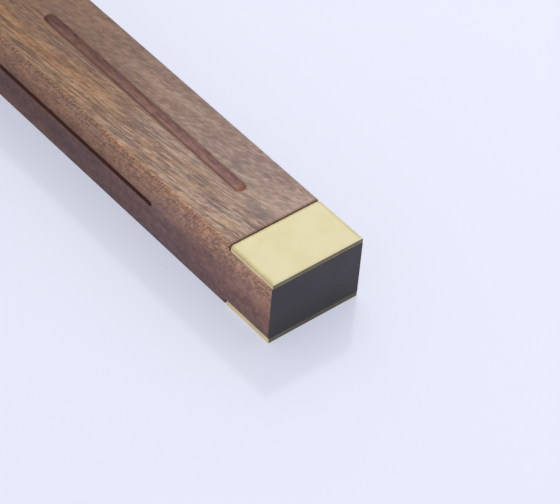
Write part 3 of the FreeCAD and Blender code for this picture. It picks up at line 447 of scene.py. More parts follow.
def oiled_wood(name, number):
    wood = Timber(name, number)
    body = ground(wood)
    if name == "beam":
        body = stained(wood, body)
    body = ray_flecks(wood, body)
    body, chips = worn_edges_and_highlights(wood, body)
    body = wood.times(body, tone(wood))
    if name == "beam":
        body = groove_rimmed(wood, body)
    height = wood.lines * 0.5 + wood.clouds * 0.3 - wood.pores * 0.8 + chips * 1.5
    wood.set(Base_Color=body, Roughness=0.44 + wood.clouds * 0.14 + wood.pores * 0.2,
             Normal=wood.bump(height, WOOD_RELIEF, 0.6), Specular_IOR_Level=0.4)
    return wood.material


WOOD = {name: oiled_wood(name, number) for number, name in enumerate(GRAIN)}
print("wood:", [material.name for material in WOOD.values()])

# %% [markdown]
# ## The routed groove and slit
#
# Inside the needle groove and the thread slit the wood is fresh from the router and has drunk the
# oil. The groove is a dull purple-brown, darker mid-board, partly its own tone and partly painted
# light that falls off along the bar. Painted shade makes it nearly black in its near corner, and a
# painted orange highlight lies on the wall at its end. The slit is narrow, and all but its back
# wall is a darker red-brown.

# %% Routed wood
ROUTED_RELIEF = 0.15 * MM
CORNER_SHADE = (0.8, 1.8)        # across the beam: painted shade in the groove's near corner
END_WALL_HIGHLIGHT = (116.5, 118.5)  # along the beam: a painted highlight on the groove's end wall
SLIT_BOTTOM = (-9.5, -8.5)      # across the beam


def routed_wood():
    wood = Finish("routed_wood")
    board = Board(wood, "beam")
    x, y, z = board.along, board.across, board.deep
    lines = wood.noise(wood.vector(x / 6.0, y / 0.6, z / 0.6), detail=3.0, roughness=0.6)
    blots = wood.noise(wood.vector(x / 3.0, y / 1.4, z / 1.4))
    body = wood.coats(
        wood.mix(lines.between(0.30, 0.70), linear(180, 144, 137), linear(144, 112, 106)),
        (blots.between(0.46, 0.64) * 0.5, linear(200, 156, 140)))
    # darker mid-board: partly the wood's own tone, partly painted light that falls off along the
    # bar
    body = wood.times(body, wood.mix(board.ends, (0.66, 0.59, 0.56, 1), (1.05, 1.02, 1.00, 1)))
    body = wood.coats(
        body,
        # painted shade in the near corner, then a painted highlight on the end wall
        ((1 - (y + lines * 0.8).between(*CORNER_SHADE)) * 0.8, linear(108, 70, 52)),
        ((x + blots * 3.0).between(*END_WALL_HIGHLIGHT) * 0.8, linear(164, 104, 62)),
        (1 - y.between(*SLIT_BOTTOM), linear(114, 72, 62)))
    wood.set(Base_Color=body, Roughness=0.7 + lines * 0.1,
             Normal=wood.bump(lines, ROUTED_RELIEF, 0.6), Specular_IOR_Level=0.2)
    return wood.material


ROUTED = routed_wood()
print("routed:", ROUTED.name)

# %% [markdown]
# ## The black sealed ends
#
# End grain drinks finish, so the maker seals it black. It is dark, faintly purple and slightly
# uneven, and painted shade makes it darkest low down, where it meets the bench.

# %% Sealed end grain
SEALED_RELIEF = 0.03 * MM
CONTACT_SHADE_RISE = (1.0, 12.0)       # millimetres up: painted shade fading out above the bench


def sealed_end():
    seal = Finish("sealed_end_grain")
    height = seal.place("Z")[0]
    cloud = seal.noise(seal.scaled(0.1), detail=3.0)
    grit = seal.noise(seal.scaled(5.0))
    colour = seal.coats(
        seal.mix(cloud.between(0.3, 0.7), linear(43, 34, 41), linear(53, 44, 51)),
        # painted shade low down, by the bench
        ((1 - height.between(*CONTACT_SHADE_RISE)) * 0.9, linear(24, 15, 20)))
    seal.set(Base_Color=colour, Roughness=0.42 + grit * 0.12,
             Normal=seal.bump(grit, SEALED_RELIEF, 0.4))
    return seal.material


SEALED_END = sealed_end()
print("sealed:", SEALED_END.name)

# %% [markdown]
# ## Brass
#
# The inlaid plates are pale brass, brushed along one direction: a metal with fine stretched noise
# in its roughness and its bump. Their sides are filed, and a brighter copy of the brass on them is
# a painted reflection; the narrow bevel between side and face gets a darker copy, a painted shaded
# line. Where a plate meets a black end some of the sealer took on it, so that edge is smoked olive,
# and darker still along its corner. Turned and stamped brass is deeper in colour.

# %% Brass
BRASS_RELIEF = 0.03 * MM
ALONG_BRUSH, ACROSS_BRUSH = 0.08, 6.0       # swells to a millimetre


def brass(name, brush, colour, deep, rough):
    metal = Finish(name)
    stretch = [ALONG_BRUSH if axis == brush else ACROSS_BRUSH for axis in AXES]
    lines = metal.noise(metal.scaled(*stretch), detail=3.0, roughness=0.7)
    cloud = metal.noise(metal.scaled(0.15))
    metal.set(Base_Color=metal.mix(cloud.between(0.3, 0.7) * 0.6 + lines * 0.2, colour, deep),
              Roughness=rough + lines * 0.16, Normal=metal.bump(lines, BRASS_RELIEF, 0.5),
              Metallic=1.0)
    return metal.material


PLATE = {axis: brass(f"brushed_brass_along_{axis}", axis,
                     linear(197, 188, 151), linear(191, 180, 138), 0.36) for axis in AXES}
# a darker copy for the bevels: a painted shaded line
PLATE_BEVEL_SHADE = brass("brass_bevel_painted_shade", "X", linear(190, 178, 134), linear(176, 162, 118), 0.34)
# a brighter copy for the sides: a painted reflection
PLATE_SIDE_REFLECTION = brass("brass_side_painted_reflection", "X", linear(246, 226, 172), linear(224, 198, 144), 0.40)
SMOKED_BRASS = brass("smoked_brass_edge", "Z", linear(150, 142, 118), linear(110, 104, 80), 0.5)
SMOKED_LINE = brass("smoked_brass_line", "Z", linear(124, 119, 98), linear(104, 99, 80), 0.5)
TURNED_BRASS = brass("turned_brass", "", linear(216, 196, 148), linear(196, 170, 118), 0.24)
print("brass:", [metal.name for metal in PLATE.values()])

# %% [markdown]
# ## Steel and leather
#
# The stud, spring and bolts are plain bright steel. The pads and the friction washer are
# vegetable-tanned leather: a fine pebble of grain from a Voronoi texture, darker where it has been
# handled.

# %% Steel and leather
HIDE_RELIEF = 0.08 * MM


def steel():
    metal = Finish("satin_steel")
    cloud = metal.noise(metal.scaled(0.8), detail=4.0)
    metal.set(Base_Color=metal.mix(cloud, linear(196, 197, 200), linear(170, 171, 176)),
              Roughness=0.22 + cloud * 0.2, Metallic=1.0)
    return metal.material


def leather(name, colour, dark):
    hide = Finish(name)
    pebble = hide.node("TexVoronoi", {"feature": "DISTANCE_TO_EDGE"},
                       {"Vector": hide.scaled(1.6), "Scale": 1.0})
    cloud = hide.noise(hide.scaled(0.12), detail=3.0)
    # darker in the creases between the pebbles: painted shade
    crease_shade = 1 - pebble.between(0.0, 0.12)
    shade = hide.coats(colour, (cloud.between(0.3, 0.7), dark), (crease_shade * 0.45, dark))
    hide.set(Base_Color=shade, Roughness=0.55 + cloud * 0.15,
             Normal=hide.bump(pebble.between(0.0, 0.2), HIDE_RELIEF, 0.6))
    return hide.material


STEEL = steel()
LEATHER = leather("veg_tanned_leather", linear(150, 98, 62), linear(104, 64, 42))
print("steel and leather:", STEEL.name, LEATHER.name)

# %% [markdown]
# ## Which finish goes where
#
# The record already sorts every piece of the model into a material slot. Wood differs from piece to
# piece, because each board has its own grain, and a plate is brushed across its bar. The other
# finishes are shared.

# %% Give every piece of the model its finish
BODY_OF = {name: body for body, names in frame["record"]["behaviour"]["bodies"].items()
           for name in names}
SLOT_OF = {part["node"]: part["material_slot"] for part in frame["record"]["subparts"]}


def finish_for(name):
    slot = SLOT_OF[name]
    if slot == "hardwood":
        return WOOD[name]
    if slot == "brass_plate":
        return PLATE["Y" if name.startswith("beam") else "X"]
    return {"sealed_end": SEALED_END, "brass": TURNED_BRASS,
            "leather": LEATHER, "steel": STEEL}[slot]


for name, piece in node.items():
    piece.data.materials.clear()
    piece.data.materials.append(finish_for(name))
print("finished:", len(node), "nodes")

# %% [markdown]
# ## A bench to work at
#
# An operator acts on everything that is selected, so each step first selects exactly what it is to
# change. `only` picks one object, `edit` opens it with nothing selected, and `choose` picks faces,
# edges or corners of it by a test on their place or direction.

# %% Selecting
def clear():
    bpy.ops.object.select_all(action="DESELECT")


def only(piece):
    clear()
    piece.select_set(True)
    bpy.context.view_layer.objects.active = piece


def edit(piece):
    only(piece)
    bpy.ops.object.mode_set(mode="EDIT")
    bpy.ops.mesh.select_all(action="DESELECT")


def done():
    bpy.ops.object.mode_set(mode="OBJECT")


def everything():
    bpy.ops.mesh.select_all(action="SELECT")


def turn_outwards():
    everything()
    bpy.ops.mesh.normals_make_consistent(inside=False)


def draw_out(height):
    """Extrudes what is selected, up or down."""
    bpy.ops.mesh.extrude_region_move(TRANSFORM_OT_translate={"value": (0, 0, height)})


def choose(piece, parts, wanted):
    """Selects the parts that pass the test, and says how many there are."""
    bpy.ops.mesh.select_mode(type={"faces": "FACE", "edges": "EDGE", "verts": "VERT"}[parts])
    bpy.ops.mesh.select_all(action="DESELECT")
    mesh = bmesh.from_edit_mesh(piece.data)
    mesh.normal_update()
    chosen = [part for part in getattr(mesh, parts) if wanted(part)]
    for part in chosen:
        part.select_set(True)
    bmesh.update_edit_mesh(piece.data)
    return len(chosen)


# %% [markdown]
# A piece may be made upright at the origin and then set down in its place. `dress` does what every
# finished piece needs: its finish, body and slot, and the plain piece that it stands for.

# %% Placing and dressing
def copy_of(piece, name):
    """A second object with its own mesh."""
    copy = bpy.data.objects.new(name, piece.data.copy())
    bpy.context.scene.collection.objects.link(copy)
    return copy


def modifier(piece, kind, **settings):
    """Adds one modifier with its settings and applies it."""
    only(piece)
    added = piece.modifiers.new(kind.lower(), kind)
    for name, value in settings.items():
        setattr(added, name, value)
    bpy.ops.object.modifier_apply(modifier=added.name)


def cut(piece, cutter):
    """Takes the cutter's shape out of a piece, and clears the cutter away."""
    modifier(piece, "BOOLEAN", operation="DIFFERENCE", object=cutter, solver="EXACT")
    bpy.data.objects.remove(cutter)


def settle(piece):
    """Moves a piece's place, turn and scale from its object into its mesh."""
    only(piece)
    bpy.ops.object.transform_apply(location=True, rotation=True, scale=True)


def set_down(piece, place, facing, turn=0.0):
    """Turns a piece to face a direction, moves it to its place, and settles it."""
    aim = Vector(facing).to_track_quat("Z", "Y").to_matrix().to_4x4()
    piece.matrix_world = Matrix.Translation(place) @ aim @ Matrix.Rotation(turn, 4, "Z")
    settle(piece)


def smooth(piece, angle=32):
    """Shades soft over shallow angles and crisp over sharp ones, with flat faces kept flat."""
    only(piece)
    bpy.ops.object.shade_smooth_by_angle(angle=math.radians(angle))
    modifier(piece, "WEIGHTED_NORMAL", keep_sharp=True, weight=80)


def dress(piece, title, name):
    """Finishes a piece that stands for one node of the model."""
    piece.name = title
    piece.data.materials.clear()
    piece.data.materials.append(finish_for(name))
    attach(piece, BODY_OF[name])
    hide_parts(name)
    return piece


# %% [markdown]
# ## Edges that catch the light
#
# No real edge is perfectly sharp. The model's pieces have the right shape but are loose triangles
# with knife edges, so a copy of each is merged into whole faces and given a narrow rounding, which
# shows as a thin bright line. The copies take no new size: the rounding is cut from the edge.

# %% Copies with softened edges
WOOD_EDGE, METAL_EDGE, SEALED_EDGE = 0.15 * MM, 0.18 * MM, 0.08 * MM
SAME_CORNER = 0.002 * MM
SAME_FACE, SHARP = math.radians(0.5), math.radians(38)


def softened(name, edge):
    copy = copy_of(node[name], name)
    edit(copy)
    everything()
    bpy.ops.mesh.remove_doubles(threshold=SAME_CORNER)
    bpy.ops.mesh.dissolve_limited(angle_limit=SAME_FACE)
    done()
    modifier(copy, "BEVEL", width=edge, segments=3, limit_method="ANGLE", angle_limit=SHARP,
             use_clamp_overlap=True, miter_outer="MITER_ARC")
    smooth(copy)
    return dress(copy, f"{name}_softened", name)


def second_finish(piece, material, wanted):
    """Gives the faces that pass the test another finish."""
    piece.data.materials.append(material)
    edit(piece)
    count = choose(piece, "faces", wanted)
    piece.active_material_index = len(piece.data.materials) - 1
    bpy.ops.object.material_slot_assign()
    done()
    return count


WOODEN = {name: softened(name, WOOD_EDGE) for name in GRAIN}
print({piece.name: len(piece.data.polygons) for piece in WOODEN.values()})

# %% [markdown]
# The groove and the slit are found on the beam by where their faces lie: inside the width of the
# groove and below the top, or behind the side and between the two lips of the slit.

# %% Routed faces of the beam
GROOVE_HALF, GROOVE_DEPTH = 1.85 * MM, 1.65 * MM
SLIT_HALF, SLIT_DEPTH = 0.9 * MM, 6.05 * MM
SKIN = 0.03 * MM
beam_low, beam_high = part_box("beam")
beam_middle = (beam_low + beam_high) / 2


def in_groove(face):
    spot = face.calc_center_median()
    aside = abs(spot.y - beam_middle.y - GROOVE_ASIDE * MM)
    inside = aside < GROOVE_HALF and SKIN < beam_high.z - spot.z < GROOVE_DEPTH
    return inside and spot.x > 0 and abs(face.normal.x) < 0.99


def in_slit(face):
    spot = face.calc_center_median()
    inside = abs(spot.z - beam_middle.z) < SLIT_HALF and SKIN < spot.y - beam_low.y < SLIT_DEPTH
    return inside and spot.x > 0


routed = second_finish(WOODEN["beam"], ROUTED, lambda face: in_groove(face) or in_slit(face))
print("routed faces:", routed)

# %% [markdown]
# ## Plates, cheeks and other metal
#
# The brass plates are let in flush, and their sides are filed back. A corner shows as two thin
# lines, both painted: a brighter copy of the brass on the side, a painted reflection, and a darker
# one on the bevel, a painted shaded line. On the edges that face the black ends, most of the
# rounding is the smoked line, and what faces straight out is the smoked edge.

# %% Metal that keeps the model's shape
OUTWARD = {"beam_tail": (1, 0, 0), "beam_front": (-1, 0, 0),
           "foot_left": (0, 1, 0), "foot_right": (0, -1, 0),
           "fixed_jaw": (0, 0, 1), "moving_jaw": (0, 0, 1)}
MODELLED = {"clamp_knob", "tilt_knob", "clamp_stud", "clamp_spring"}


def edges_painted_and_stained(name):
    """Gives a plate's sides a painted reflection and its bevels a painted shaded line, and stains
    what meets the sealed end.
    """
    outward = next(Vector(way) for start, way in OUTWARD.items() if name.startswith(start))
    plate = SOFTENED[name]
    flat = Vector((0, 1, 0)) if "jaw" in name else Vector((0, 0, 1))

    def looking_out(low, high, material):
        second_finish(plate, material, lambda face: low < face.normal.dot(outward) < high)

    # the sides get a painted reflection, the bevels a painted shaded line
    second_finish(plate, PLATE_SIDE_REFLECTION, lambda face: abs(face.normal.dot(flat)) < 0.5)
    second_finish(plate, PLATE_BEVEL_SHADE, lambda face: 0.5 < abs(face.normal.dot(flat)) < 0.99)
    if "bottom" in name:
        looking_out(0.5, math.inf, SMOKED_LINE)
    else:
        looking_out(0.05, 0.32, finish_for(name))
        looking_out(0.32, 0.97, SMOKED_LINE)
        looking_out(0.97, math.inf, SMOKED_BRASS)


SOFTENED = {name: softened(name, METAL_EDGE) for name in node
            if SLOT_OF[name] in ("brass_plate", "brass", "steel")
            and name not in MODELLED and "screws" not in name}
for name in SOFTENED:
    if "_plate" in name and name != "swivel_plate":
        edges_painted_and_stained(name)
print("softened metal:", sorted(SOFTENED))

# %% [markdown]
# ## Slotted wood screws
#
# Every wooden joint is held by countersunk brass screws. One screw is turned from a cone: the wide
# end is the head, a small bevel softens its rim, the narrow end is drawn out into the shank and a
# point, and the slot is cut by a thin block.

# %% One screw
SLOT_WIDTH, RIM = 0.16, 0.03        # shares of the head's width
SLOT_DEPTH, POINT = 0.7, 0.5        # shares of the depth that the head is sunk
TIP = 0.15                          # the tip's width as a share of the shank's


def wood_screw(shank, head, length):
    sink = (head - shank) / 2
    clear()
    bpy.ops.mesh.primitive_cone_add(vertices=40, radius1=shank / 2, radius2=head / 2, depth=sink,
                                    location=(0, 0, -sink / 2))
    screw = bpy.context.object
    settle(screw)
    edit(screw)
    choose(screw, "faces", lambda face: face.normal.z < -0.99)
    draw_out((1 + POINT) * sink - length)
    draw_out(-POINT * sink)
    bpy.ops.transform.resize(value=(TIP, TIP, 1))
    choose(screw, "edges", lambda line: all(end.co.z > -0.1 * sink for end in line.verts))
    bpy.ops.mesh.bevel(offset=RIM * head, segments=2)
    done()
    clear()
    bpy.ops.mesh.primitive_cube_add(
        size=1, scale=(2 * head, SLOT_WIDTH * head, 2 * SLOT_DEPTH * sink))
    cut(screw, bpy.context.object)
    smooth(screw, 40)
    return screw


LARGE, SMALL = 6.5 * MM, 4.6 * MM       # the hole that each head fills
CLEAR = 0.1 * MM
large = wood_screw(3.5 * MM, LARGE - CLEAR, 9 * MM)
small = wood_screw(2.4 * MM, SMALL - CLEAR, 7 * MM)
print("one screw:", len(large.data.polygons), "faces")

# %% [markdown]
# The other screws are copies, each turned differently, as a driver leaves them. A node's box says
# where they go: in from its ends along some axes, and just under the surface along another.

# %% All the screws
SINK_UNDER = 0.05 * MM
FIRST_TURN, NEXT_TURN = 0.7, 1.9        # radians


def shifted(spot, axis, value):
    """A copy of a spot with another value along one axis."""
    copy = Vector(spot)
    copy[AXES.index(axis)] = value
    return copy


def corners(name, inset, axes):
    """The places one inset in from the ends of a node's box, along the axes named."""
    low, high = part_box(name)
    spots = [(low + high) / 2]
    for axis in axes:
        k = AXES.index(axis)
        spots = [shifted(spot, axis, end) for spot in spots
                 for end in (low[k] + inset, high[k] - inset)]
    return spots


def drive(name, template, spots, axis, ways):
    """Copies a screw to each spot, facing each way along an axis, and joins and dresses them."""
    low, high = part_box(name)
    k = AXES.index(axis)
    copies = []
    for way in ways:
        depth = high[k] - SINK_UNDER if way > 0 else low[k] + SINK_UNDER
        for spot in spots:
            copy = copy_of(template, name)
            set_down(copy, shifted(spot, axis, depth), shifted((0, 0, 0), axis, way),
                     FIRST_TURN + NEXT_TURN * len(copies))
            copies.append(copy)
    only(copies[0])
    for copy in copies:
        copy.select_set(True)
    bpy.ops.object.join()
    dress(copies[0], f"{name}_slotted", name)


drive("lap_screws", large, corners("lap_screws", LARGE / 2, "XY"), "Z", [-1])
drive("swivel_plate_screws", large, corners("swivel_plate_screws", LARGE / 2, "X"), "Z", [1])
drive("block_screws", large, corners("block_screws", LARGE / 2, "Z"), "Y", [-1])
drive("escutcheon_screws", small, corners("escutcheon_screws", SMALL / 2, "Z"), "Y", [1])
low_front, high_front, low_back, _ = corners("cheek_screws", LARGE / 2, "YZ")
drive("cheek_screws", large, [low_front, high_front, low_back], "X", [1, -1])
for template in (large, small):
    bpy.data.objects.remove(template)
print("screws driven")

# %% [markdown]
# ## The threaded stud
#
# The stud is cut with a coarse thread from end to end. A thread is one short sloping line, bent
# outwards in the middle, that the Screw modifier carries round and along at once. Two cuts square
# the ends, and a cone at each end leads the nut on.

# %% Thread
PITCH = 1.25 * MM
THREAD_DEPTH = 0.6 * MM
THREAD_STEPS = 28       # to a turn
LEAD_IN = 0.86          # the width of the cone's end, as a share of the stud's


def threaded_bar(radius, length):
    clear()
    bpy.ops.mesh.primitive_plane_add(size=PITCH, location=(0, 0, 0))
    bar = bpy.context.object
    edit(bar)
    choose(bar, "verts", lambda corner: corner.co.x > 0)
    bpy.ops.mesh.delete(type="VERT")
    choose(bar, "verts", lambda corner: True)
    bpy.ops.mesh.subdivide(number_cuts=1)
    bpy.ops.transform.rotate(value=math.pi / 2, orient_axis="X",
                             center_override=(-PITCH / 2, 0, 0))
    bpy.ops.transform.translate(value=(radius - THREAD_DEPTH + PITCH / 2, 0, -PITCH))
    choose(bar, "verts", lambda corner: abs(corner.co.z + PITCH) < PITCH / 4)
    bpy.ops.transform.translate(value=(THREAD_DEPTH, 0, 0))
    done()
    modifier(bar, "SCREW", axis="Z", angle=math.tau, screw_offset=PITCH,
             iterations=int(length / PITCH) + 3, steps=THREAD_STEPS, render_steps=THREAD_STEPS,
             use_merge_vertices=True, merge_threshold=0.001 * MM)
    edit(bar)
    for height, way in ((0, -1), (length, 1)):
        everything()
        bpy.ops.mesh.bisect(plane_co=(0, 0, height), plane_no=(0, 0, way), use_fill=True,
                            clear_outer=True)
    turn_outwards()
    for height in (0, length):
        choose(bar, "verts", lambda corner: abs(corner.co.z - height) < 0.3 * PITCH
               and corner.co.xy.length > radius - 0.8 * THREAD_DEPTH)
        bpy.ops.transform.resize(value=(LEAD_IN, LEAD_IN, 1), center_override=(0, 0, height))
    done()
    return bar


low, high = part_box("clamp_stud")
stud = threaded_bar((high.x - low.x) / 2, high.y - low.y)
middle = (low + high) / 2
set_down(stud, (middle.x, low.y, middle.z), (0, 1, 0))
smooth(stud, 30)
dress(stud, "clamp_stud_threaded", "clamp_stud")
print("stud:", len(stud.data.polygons), "faces")

# %% [markdown]
# ## The spring
#
# A compression spring between the arms pushes the moving jaw open as the knob is backed off. Its
# wire is round: a small circle carried round the stud by the Screw modifier, with its two ends
# filled.

# %% Spring
WIRE = 1.4 * MM
TURNS = 3.5
COIL_STEPS = round(TURNS * 36)


def coil_spring(name):
    low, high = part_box(name)
    middle = (low + high) / 2
    radius = (high.x - low.x - WIRE) / 2
    rise = high.y - low.y - WIRE
    clear()
    bpy.ops.mesh.primitive_circle_add(vertices=14, radius=WIRE / 2, location=(radius, 0, 0),
                                      rotation=(math.pi / 2, 0, 0))
    coil = bpy.context.object
    settle(coil)
    modifier(coil, "SCREW", axis="Z", angle=math.tau * TURNS, screw_offset=rise, iterations=1,
             steps=COIL_STEPS, render_steps=COIL_STEPS)
    edit(coil)
    for height in (0, rise):
        choose(coil, "edges",
               lambda line: line.is_boundary and abs(line.verts[0].co.z - height) < WIRE)
        bpy.ops.mesh.edge_face_add()
    turn_outwards()
    done()
    set_down(coil, (middle.x, low.y + WIRE / 2, middle.z), (0, 1, 0))
    smooth(coil, 50)
    return coil


spring = coil_spring("clamp_spring")
low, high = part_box("clamp_spring")
middle = (low + high) / 2
spring.name = "clamp_spring_coiled"
spring.data.materials.append(STEEL)
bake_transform(spring)
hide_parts("clamp_spring")
print("spring:", len(spring.data.polygons), "faces")

# %% [markdown]
# ## The two fluted knobs
#
# Both knobs are turned from brass bar and then fluted, so that oily fingers can grip them. The bar
# is a cylinder with eight corners to each flute and bevelled rims. The corners near the middle of a
# flute are drawn towards the axis by the depth of a round cutter at that place, all twelve flutes
# at once. The hub is drawn out of the inner face, and the outer face gets a dished ring.

# %% Knob
FLUTES, STEPS = 12, 8


def draw_in(piece, radius, lift=0.0):
    """Extrudes the selected face by lift, and makes its new rim a true circle of this radius."""
    draw_out(lift)
    mesh = bmesh.from_edit_mesh(piece.data)
    for corner in mesh.verts:
        if corner.select:
            corner.co.xy = corner.co.xy.normalized() * radius
    bmesh.update_edit_mesh(piece.data)


def cut_flutes(knob, radius, cutter):
    pitch = math.tau / (FLUTES * STEPS)
    for step in range(-2, 3):
        aside = step * pitch * radius
        depth = math.sqrt(max(cutter * cutter - aside * aside, 0)) - cutter / 2
        if depth > 0:
            choose(knob, "verts", lambda corner: step % STEPS
                   == round(math.atan2(corner.co.y, corner.co.x) / pitch) % STEPS)
            shrink = 1 - depth / radius
            bpy.ops.transform.resize(value=(shrink, shrink, 1), center_override=(0, 0, 0))


def fluted_knob(name, hub, hub_height, bore, cutter):
    low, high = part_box(name)
    middle = (low + high) / 2
    radius = max(high.x - low.x, high.z - low.z) / 2
    grip = high.y - low.y - hub_height
    boss = 0.7 * bore
    step = 0.05 * radius        # down to the dish, and up again to the boss
    clear()
    bpy.ops.mesh.primitive_cylinder_add(vertices=FLUTES * STEPS, radius=radius, depth=grip,
                                        location=(0, 0, hub_height + grip / 2))
    knob = bpy.context.object
    settle(knob)
    edit(knob)
    choose(knob, "edges",
           lambda line: abs(line.verts[0].co.z - line.verts[1].co.z) < 0.01 * MM)
    bpy.ops.mesh.bevel(offset=0.055 * radius, segments=3)
    cut_flutes(knob, radius, cutter)
    # hub, drawn out of the inner face
    choose(knob, "faces", lambda face: face.normal.z < -0.99 and len(face.verts) > STEPS)
    draw_in(knob, hub / 2)
    draw_in(knob, hub / 2, -hub_height)
    draw_in(knob, bore / 2)
    bpy.ops.mesh.delete(type="FACE")
    # outer face: a flat rim, a dish, a raised boss, and the bore
    choose(knob, "faces", lambda face: face.normal.z > 0.99 and len(face.verts) > STEPS)
    for ring, lift in ((0.80 * radius, 0), (0.76 * radius, -step), (boss + 0.04 * radius, 0),
                       (boss, step), (0.5 * bore, 0)):
        draw_in(knob, ring, lift)
    bpy.ops.mesh.delete(type="FACE")
    choose(knob, "edges", lambda line: line.is_boundary)
    bpy.ops.mesh.bridge_edge_loops()
    turn_outwards()
    done()
    set_down(knob, (middle.x, low.y, middle.z), (0, 1, 0))
    smooth(knob, 40)
    return dress(knob, f"{name}_fluted", name)


knobs = [fluted_knob("clamp_knob", hub=16 * MM, hub_height=3 * MM, bore=8.16 * MM, cutter=2 * MM),
         fluted_knob("tilt_knob", hub=13 * MM, hub_height=3 * MM, bore=6.16 * MM, cutter=1.6 * MM)]
print("knobs:", [len(knob.data.polygons) for knob in knobs], "faces")

# %% [markdown]
# ## Leather
#
# The jaws are faced with leather so that they grip the work without marking it. Cut leather is not
# a block: its edges are burnished round, and its face swells and dips by a few hundredths of a
# millimetre.

# %% Jaw facings
HIDE_SWELLS = bpy.data.textures.new("hide_swells", "CLOUDS")
HIDE_SWELLS.noise_scale = 5 * MM
SWELL = 0.08 * MM
JAW_CORNER, BURNISHED = 1.9 * MM, 0.55 * MM
CUTS = 12


def thickness(line):
    """How far an edge of a facing runs through the hide."""
    return abs(line.verts[0].co.y - line.verts[1].co.y)


def jaw_facing(name):
    low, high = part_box(name)
    clear()
    bpy.ops.mesh.primitive_cube_add(size=1, location=(low + high) / 2,
                                    scale=(high - low) - Vector((0.1, 0.1, 0.1)) * MM)
    facing = bpy.context.object
    settle(facing)
    edit(facing)
    choose(facing, "edges", lambda line: thickness(line) > 1 * MM)
    bpy.ops.mesh.bevel(offset=JAW_CORNER, segments=5)
    choose(facing, "edges", lambda line: thickness(line) < 0.01 * MM)
    bpy.ops.mesh.bevel(offset=BURNISHED, segments=3)
    for axis in "XZ":
        k = AXES.index(axis)
        for count in range(1, CUTS):
            place = shifted(low, axis, low[k] + (high[k] - low[k]) * count / CUTS)
            everything()
            bpy.ops.mesh.bisect(plane_co=place, plane_no=shifted((0, 0, 0), axis, 1))
    done()
    modifier(facing, "DISPLACE", texture=HIDE_SWELLS, texture_coords="LOCAL", strength=SWELL,
             mid_level=0.9)
    smooth(facing, 60)
    return dress(facing, f"{name}_leather", name)


for name in ("fixed_jaw_pad", "moving_jaw_pad"):
    print(name, len(jaw_facing(name).data.polygons), "faces")

# %% [markdown]
# A leather washer gives the swivel its drag: a disc with burnished edges, punched for the bolt.

# %% Friction washer
def leather_washer(name, bore):
    low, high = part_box(name)
    middle = (low + high) / 2
    clear()
    bpy.ops.mesh.primitive_cylinder_add(
        vertices=96, radius=(high.x - low.x) / 2 - 0.05 * MM,
        depth=high.z - low.z - 0.04 * MM, location=middle)
    washer = bpy.context.object
    settle(washer)
    modifier(washer, "BEVEL", width=0.3 * MM, segments=3, limit_method="ANGLE",
             angle_limit=math.radians(40))
    clear()
    bpy.ops.mesh.primitive_cylinder_add(vertices=48, radius=bore / 2, depth=20 * MM,
                                        location=middle)
    cut(washer, bpy.context.object)
    smooth(washer, 50)
    return dress(washer, f"{name}_leather", name)


print("washer:", len(leather_washer("friction_washer", 8.2 * MM).data.polygons), "faces")

# %% [markdown]
# The black faces are thin, so they get the narrowest rounding of all.

# %% The black faces
sealed = [softened(name, SEALED_EDGE) for name in node if SLOT_OF[name] == "sealed_end"]
print("sealed faces:", len(sealed))

# %% [markdown]
# ## Camera
#
# The camera stands well back with a long lens and looks down on the tail of the beam. Its direction
# is given by an azimuth and an elevation, and it is rolled a little, so its axes are worked out
# from those angles.

# %% Camera
BAR_WIDTH = 30 * MM
# in widths of the bar, and the aim from the bottom of the tail's near corner
DISTANCE, AIM = 25.346, (-0.588, 0.586, 0.3)


def look(azimuth, elevation, roll):
    """The camera's right, up and backward directions."""
    az, el, turn = (math.radians(angle) for angle in (azimuth, elevation, roll))
    back = Vector((math.sin(az) * math.cos(el), -math.cos(az) * math.cos(el), math.sin(el)))
    right = (-back).cross(Vector((0, 0, 1))).normalized()
    up = right.cross(-back)
    return (right * math.cos(turn) + up * math.sin(turn),
            up * math.cos(turn) - right * math.sin(turn), back)


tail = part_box("beam_tail_end_face")[1].x
near_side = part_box("beam")[0].y
target = Vector((tail, near_side, 0)) + Vector(AIM) * BAR_WIDTH
right, up, back = look(azimuth=47.109, elevation=44.145, roll=5.103)
camera_data = bpy.data.cameras.new("camera")
camera_data.sensor_width = 36
camera_data.lens = 186.87
camera_data.clip_end = 20
camera = bpy.data.objects.new("camera", camera_data)
bpy.context.scene.collection.objects.link(camera)
turn = Matrix((right, up, back)).transposed().to_4x4()
camera.matrix_world = Matrix.Translation(target + back * DISTANCE * BAR_WIDTH) @ turn
bpy.context.scene.camera = camera
print("camera at", [round(c, 3) for c in camera.location])

# %% [markdown]
# ## Floor
#
# The floor is a glossy white sheet. What the camera sees of it is partly a glow, which lifts the
# shadows, while the light that the object gets back is that of plain paint. A thin gloss over it is
# stronger at low angles.

# %% Floor
def dimmed(colour, strength):
    return [part * strength for part in colour[:3]] + [1.0]


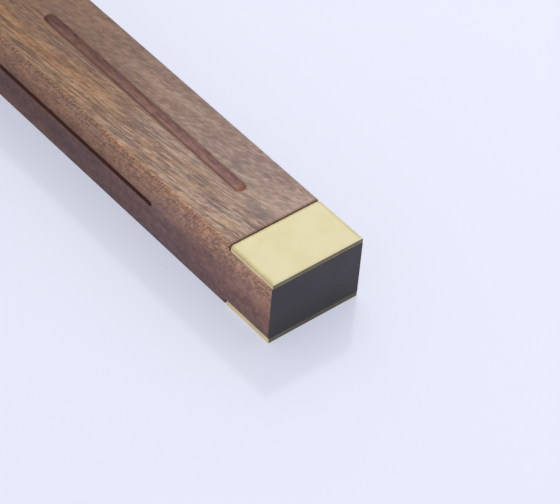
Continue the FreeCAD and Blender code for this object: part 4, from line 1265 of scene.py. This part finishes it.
def pale_floor():
    paint = Finish("pale_floor")
    seen = paint.seen()
    pale = linear(231, 231, 240)
    glow = linear(219, 225, 244)
    paint.set(Base_Color=paint.mix(seen, dimmed(pale, 0.62), dimmed(pale, 0.54)),
              Emission_Color=paint.mix(seen, dimmed(glow, 0.0), dimmed(glow, 0.56)),
              Emission_Strength=1.0, Specular_IOR_Level=0.0)
    under = Signal(paint, paint.shader.outputs["BSDF"])
    shine = paint.node("BsdfGlossy", sockets={"Color": (1, 1, 1, 1), "Roughness": 0.13})
    gloss = paint.node("Fresnel", sockets={"IOR": 1.45})
    sheet = paint.node("MixShader", sockets={0: gloss, 1: under, 2: shine})
    paint.feed(paint.tree.nodes["Material Output"].inputs["Surface"], sheet)
    return paint.material


clear()
bpy.ops.mesh.primitive_plane_add(size=6, location=(0, 0, -0.02 * MM))
floor = bpy.context.object
floor.name = "floor"
floor.data.materials.append(pale_floor())
print("floor laid")

# %% [markdown]
# ## Light
#
# A large soft lamp stands behind, as a window would, and the rest is the room's own cool light.
# What is seen of the room, straight or in the metal, is a pale backdrop.

# %% Window
WINDOW_PLACE, WINDOW_AIM = Vector((-0.80, 0.83, 1.20)), Vector((0.1, 0, 0))
window_data = bpy.data.lights.new("window", "AREA")
window_data.size = 1.95
window_data.energy = 11.5
window = bpy.data.objects.new("window", window_data)
bpy.context.scene.collection.objects.link(window)
window.location = WINDOW_PLACE
window.rotation_euler = (WINDOW_AIM - WINDOW_PLACE).to_track_quat("-Z", "Y").to_euler()
print("window:", window_data.energy, "W")

# %% [markdown]
# The room's own light and its backdrop are two Backgrounds, and the rays choose between them.

# %% Room
world = bpy.data.worlds.new("room")
bpy.context.scene.world = world
world.use_nodes = True
room = Nodes(world.node_tree)
light = room.tree.nodes["Background"]
light.inputs["Color"].default_value = (0.95, 0.96, 1.0, 1)
light.inputs["Strength"].default_value = 0.74
backdrop = room.node("Background", sockets={"Color": linear(220, 225, 240)})
either = room.node("MixShader", sockets={
    0: room.seen(), 1: Signal(room, light.outputs["Background"]), 2: backdrop})
room.feed(room.tree.nodes["World Output"].inputs["Surface"], either)
bpy.context.scene.view_settings.view_transform = "Standard"
print("room:", world.name)
